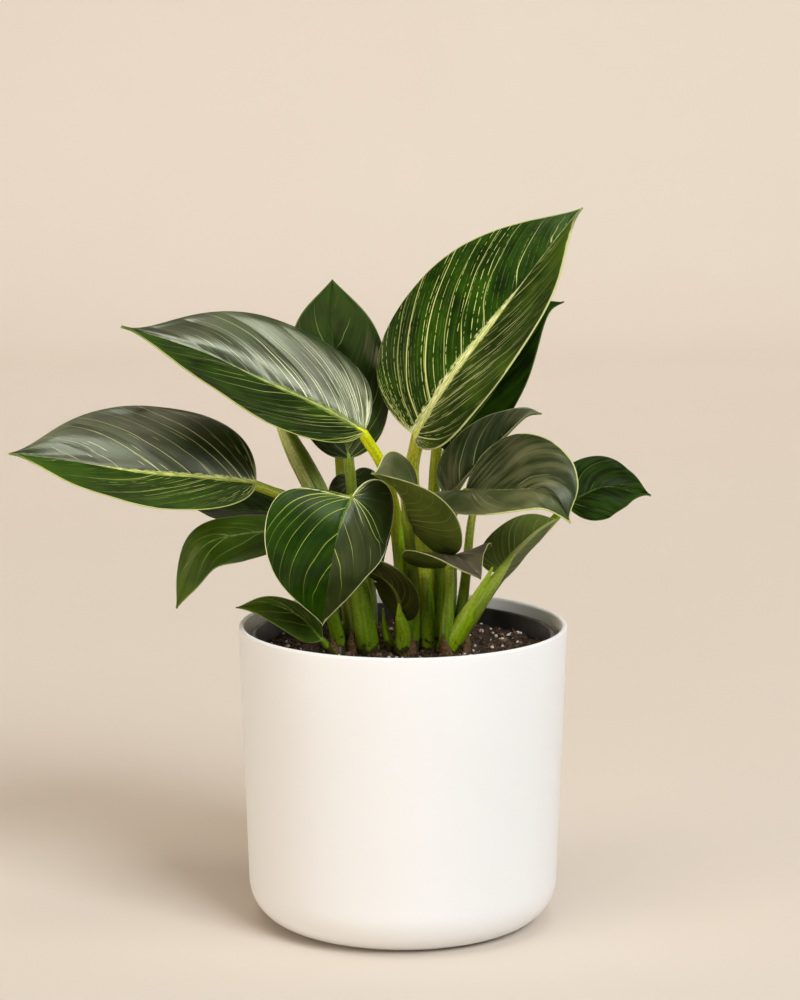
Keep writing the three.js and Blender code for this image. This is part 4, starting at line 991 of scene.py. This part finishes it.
drilled = worked_in(liner)
liner.modifiers.clear()
liner.data = drilled
bpy.data.objects.remove(drill)
settle(liner, "nursery_pot", "nursery_pot")

# ---- potting mix
MOUNDS = [((42, -22), 2.2, 22), ((-48, -8), -2, 17)]  # place, height and spread
MIX_GAP = 0.3  # between the mix and the nursery pot


def mix_height(x, y):
    """The lumpy surface of the mix, as in the solid."""
    z = MIX_TOP + np.sin(x / 4.1 + 1.3) * np.sin(y / 4.7 + 0.6) + 0.7 * np.sin(x / 2.7 - y / 3.6 + 2)
    for (mx, my), height, spread in MOUNDS:
        z = z + height * np.exp(-((x - mx)**2 + (y - my)**2) / spread**2)
    return z


def clod(x, y):
    """The height of the clods at a place of the mix."""
    return (noise.noise(Vector((x / 2.6, y / 2.6, 3))) * 0.9
            + noise.noise(Vector((x / 1.1, y / 1.1, 9))) * 0.45)


def mix_piece():
    """The body of the mix: its lumpy top with small clods on it, down to the nursery pot's floor."""
    segments, rings = 200, 84
    angle = full_turn(segments)
    full = nursery_radius(MIX_TOP - 4) - NURSERY_WALL - MIX_GAP
    radius = full * np.linspace(0, 1, rings + 1)
    x, y = radius[:, None] * np.cos(angle), radius[:, None] * np.sin(angle)
    top = np.stack([x, y, mix_height(x, y) + np.vectorize(clod)(x, y)], -1)
    floor = NURSERY_FLOOR + NURSERY_WALL + MIX_GAP
    base = nursery_radius(floor) - NURSERY_WALL - MIX_GAP
    wall = [np.stack([x[-1] / full * r, y[-1] / full * r, np.full(segments, h)], -1)
            for r, h in ((full - 0.4, MIX_TOP - 9), (base, floor), (base * 0.5, floor), (0, floor))]
    points = np.concatenate([top, np.stack(wall)])
    shape = Shape()
    shape.grid(points, round_uv(angle, range(len(points))), closed=True)
    return shape.build("mix_bed", PEAT)


def scatter_tree():
    """Loose grains strewn over a bed: random places on its upward faces, each grain turned,
    sized and dented by chance."""
    tree = bpy.data.node_groups.new("strewn_grains", "GeometryNodeTree")
    tree.interface.new_socket("Geometry", in_out="OUTPUT", socket_type="NodeSocketGeometry")
    for label, kind, value in (("Geometry", "Geometry", None), ("Density", "Float", 1.0),
                               ("Seed", "Int", 1), ("Smallest", "Float", MM), ("Largest", "Float", MM),
                               ("Length", "Float", 1.0), ("Dents", "Float", 0.3), ("Sink", "Float", 0.0),
                               ("Finish", "Material", None)):
        socket = tree.interface.new_socket(label, in_out="INPUT", socket_type="NodeSocket" + kind)
        if value is not None:
            socket.default_value = value
    given = node(tree, "given").node.outputs
    upward = node(tree, "split", ("normal",)).node.outputs[2]
    places = node(tree, "places", given["Geometry"], ("more than", upward, 0.35), given["Density"],
                  given["Seed"])
    turn = ("random vector", (0, 0, 0), (6.28, 6.28, 6.28), given["Seed"])
    squeeze = ("random vector", (0.6, 0.6, 0.5), (1, 1, 0.9), 8)
    size = ("vector scaled", ("vector times", squeeze, ("join", given["Length"], 1.0, 1.0)),
            ("random size", given["Smallest"], given["Largest"], 5))
    strewn = ("solid", ("strewn", places, ("grain", 1.0, 1), turn, size))
    dent = node(tree, "noise", ("position",), 900.0, 1.0).node.outputs["Color"]
    push = ("vector scaled", ("vector less", dent, (0.5, 0.5, 0.5)),
            ("times", given["Dents"], given["Largest"]))
    push = ("vector sum", push, ("join", 0.0, 0.0, ("times", given["Sink"], -1.0)))
    tree.links.new(node(tree, "dressed", ("moved", strewn, push), given["Finish"]),
                   node(tree, "result").inputs[0])
    return tree


bed, grains = mix_piece(), scatter_tree()


def strew(name, **settings):
    """Strews grains over the bed with the given settings and makes them a plain mesh."""
    host = place("strewing", bed.data)
    modifier = host.modifiers.new("grains", "NODES")
    modifier.node_group = grains
    for item in grains.interface.items_tree:
        if item.in_out == "INPUT" and item.name in settings:
            modifier[item.identifier] = settings[item.name]
    mesh = worked_in(host)
    bpy.data.objects.remove(host)
    mesh.name = name
    settle(place(name, mesh), "potting_mix")


settle(bed, "potting_mix", "potting_mix")
strew("bark_crumbs", Density=100000.0, Seed=3, Smallest=0.5 * MM, Largest=1.8 * MM, Dents=0.8,
      Sink=0.2 * MM, Finish=crumb("dry_bark_crumbs", "241910", "5e4832"))
strew("bark_chips", Density=5200.0, Seed=21, Smallest=1.6 * MM, Largest=3.4 * MM, Dents=0.8,
      Sink=0.6 * MM, Finish=crumb("weathered_bark_chips", "33251a", "7b6448"))
strew("perlite_grains", Density=15000.0, Seed=8, Smallest=0.3 * MM, Largest=1.7 * MM, Dents=0.45,
      Sink=-0.3 * MM, Finish=crumb("expanded_perlite", "cdb9a8", "f3e8de"))
strew("peat_fibres", Density=16000.0, Seed=5, Smallest=0.2 * MM, Largest=0.36 * MM, Length=16.0,
      Dents=1.2, Sink=-0.2 * MM, Finish=crumb("coir_fibres", "4a3826", "84694a"))

# ---- studio, in metres


def sweep():
    """A seamless pale paper sweep: a wide floor, a bend far behind, then the wall."""
    bend_start, bend, half_width = 2.1, 0.7, 9.0
    profile = [(-7.0, 0), (bend_start, 0),  # (away from the camera, up)
               *((bend_start + bend * math.sin(a), bend - bend * math.cos(a))
                 for a in np.linspace(0.05, math.pi / 2, 24)), (bend_start + bend, 9.0)]
    points = np.array([[(x, y, z) for x in (-half_width, half_width)] for y, z in profile]) / MM
    shape = Shape()
    shape.grid(points, np.zeros(points.shape[:2] + (2,)))
    material, tree = surface("matt_backdrop_paper", Roughness=0.9, Specular_IOR_Level=0.2)
    tone = node(tree, "blend", object_noise(tree, 220, 2.0), "dcd1c5", "dfd5c9")
    tree.links.new(tone, tree.nodes["Principled BSDF"].inputs["Base Color"])
    return shape.build("paper_sweep", material)


sweep()


def softbox(name, at, aim, size, power, colour, spread=180):
    """An area light which looks at aim and lights a cone of the given degrees."""
    light = bpy.data.lights.new(name, "AREA")
    light.shape, light.energy, light.color = "RECTANGLE", power, linear(colour)[:3]
    light.size, light.size_y = size
    light.spread = math.radians(spread)
    lamp = place(name, light)
    lamp.location = at
    lamp.rotation_euler = (Vector(aim) - Vector(at)).to_track_quat("-Z", "Y").to_euler()


softbox("key_softbox", (3.0, -4.1, 4.2), (0, 0, 0.15), (2.9, 2.9), 315, "f2f9ff")
softbox("overhead_softbox", (-0.2, -1.2, 5.2), (0, 0, 0.2), (3.4, 3.0), 120, "fff6ea")
softbox("left_panel", (-6.0, -4.0, 0.9), (0, 0, 0.1), (3.2, 1.6), 172, "fff0dd")
softbox("backdrop_softbox", (0, 1.9, 3.2), (0, 2.3, 0), (2.5, 1.2), 3.6, "fffdf8", 70)

# The room: evenly light all round, but dim behind and left of the camera.
world = bpy.data.worlds.new("studio_room")
world.use_nodes = True
room = world.node_tree
glow, strength = room.nodes["Background"].inputs[:2]
glow.default_value = linear("ffedd4")
way = node(room, "coordinates").node.outputs["Generated"]
room.links.new(node(room, "ease", ("dot", way, (-0.45, -0.85, 0.28)), -0.2, 0.8, 0.185, 0.05), strength)
bpy.context.scene.world = world

# Camera: 1.5 m from the pot's rim, about 12 degrees above it. The middle of the rim is at RIM_PIXEL.
CAMERA_AWAY, CAMERA_UP = 1500.0, math.radians(11.9)
MM_PER_PIXEL = 0.4634
WIDE, HIGH = 800, 1000
RIM_PIXEL = (403.0, 623.0)
SENSOR = 36.0
off_x, off_y = RIM_PIXEL[0] - WIDE / 2, RIM_PIXEL[1] - HIGH / 2
focal = CAMERA_AWAY / MM_PER_PIXEL  # in pixels
focal *= math.cos(math.atan(off_y / focal))
camera = place("camera", bpy.data.cameras.new("camera"))
camera.data.sensor_fit, camera.data.sensor_height = "VERTICAL", SENSOR
camera.data.lens = focal * SENSOR / HIGH
camera.location = Vector((0, -CAMERA_AWAY * math.cos(CAMERA_UP),
                          POT_HEIGHT + CAMERA_AWAY * math.sin(CAMERA_UP))) * MM
camera.rotation_euler = (math.pi / 2 - CAMERA_UP + math.atan(off_y / focal), 0, math.atan(off_x / focal))
bpy.context.scene.camera = camera
bpy.context.scene.view_settings.view_transform = "Standard"
bpy.context.scene.view_settings.look = "None"
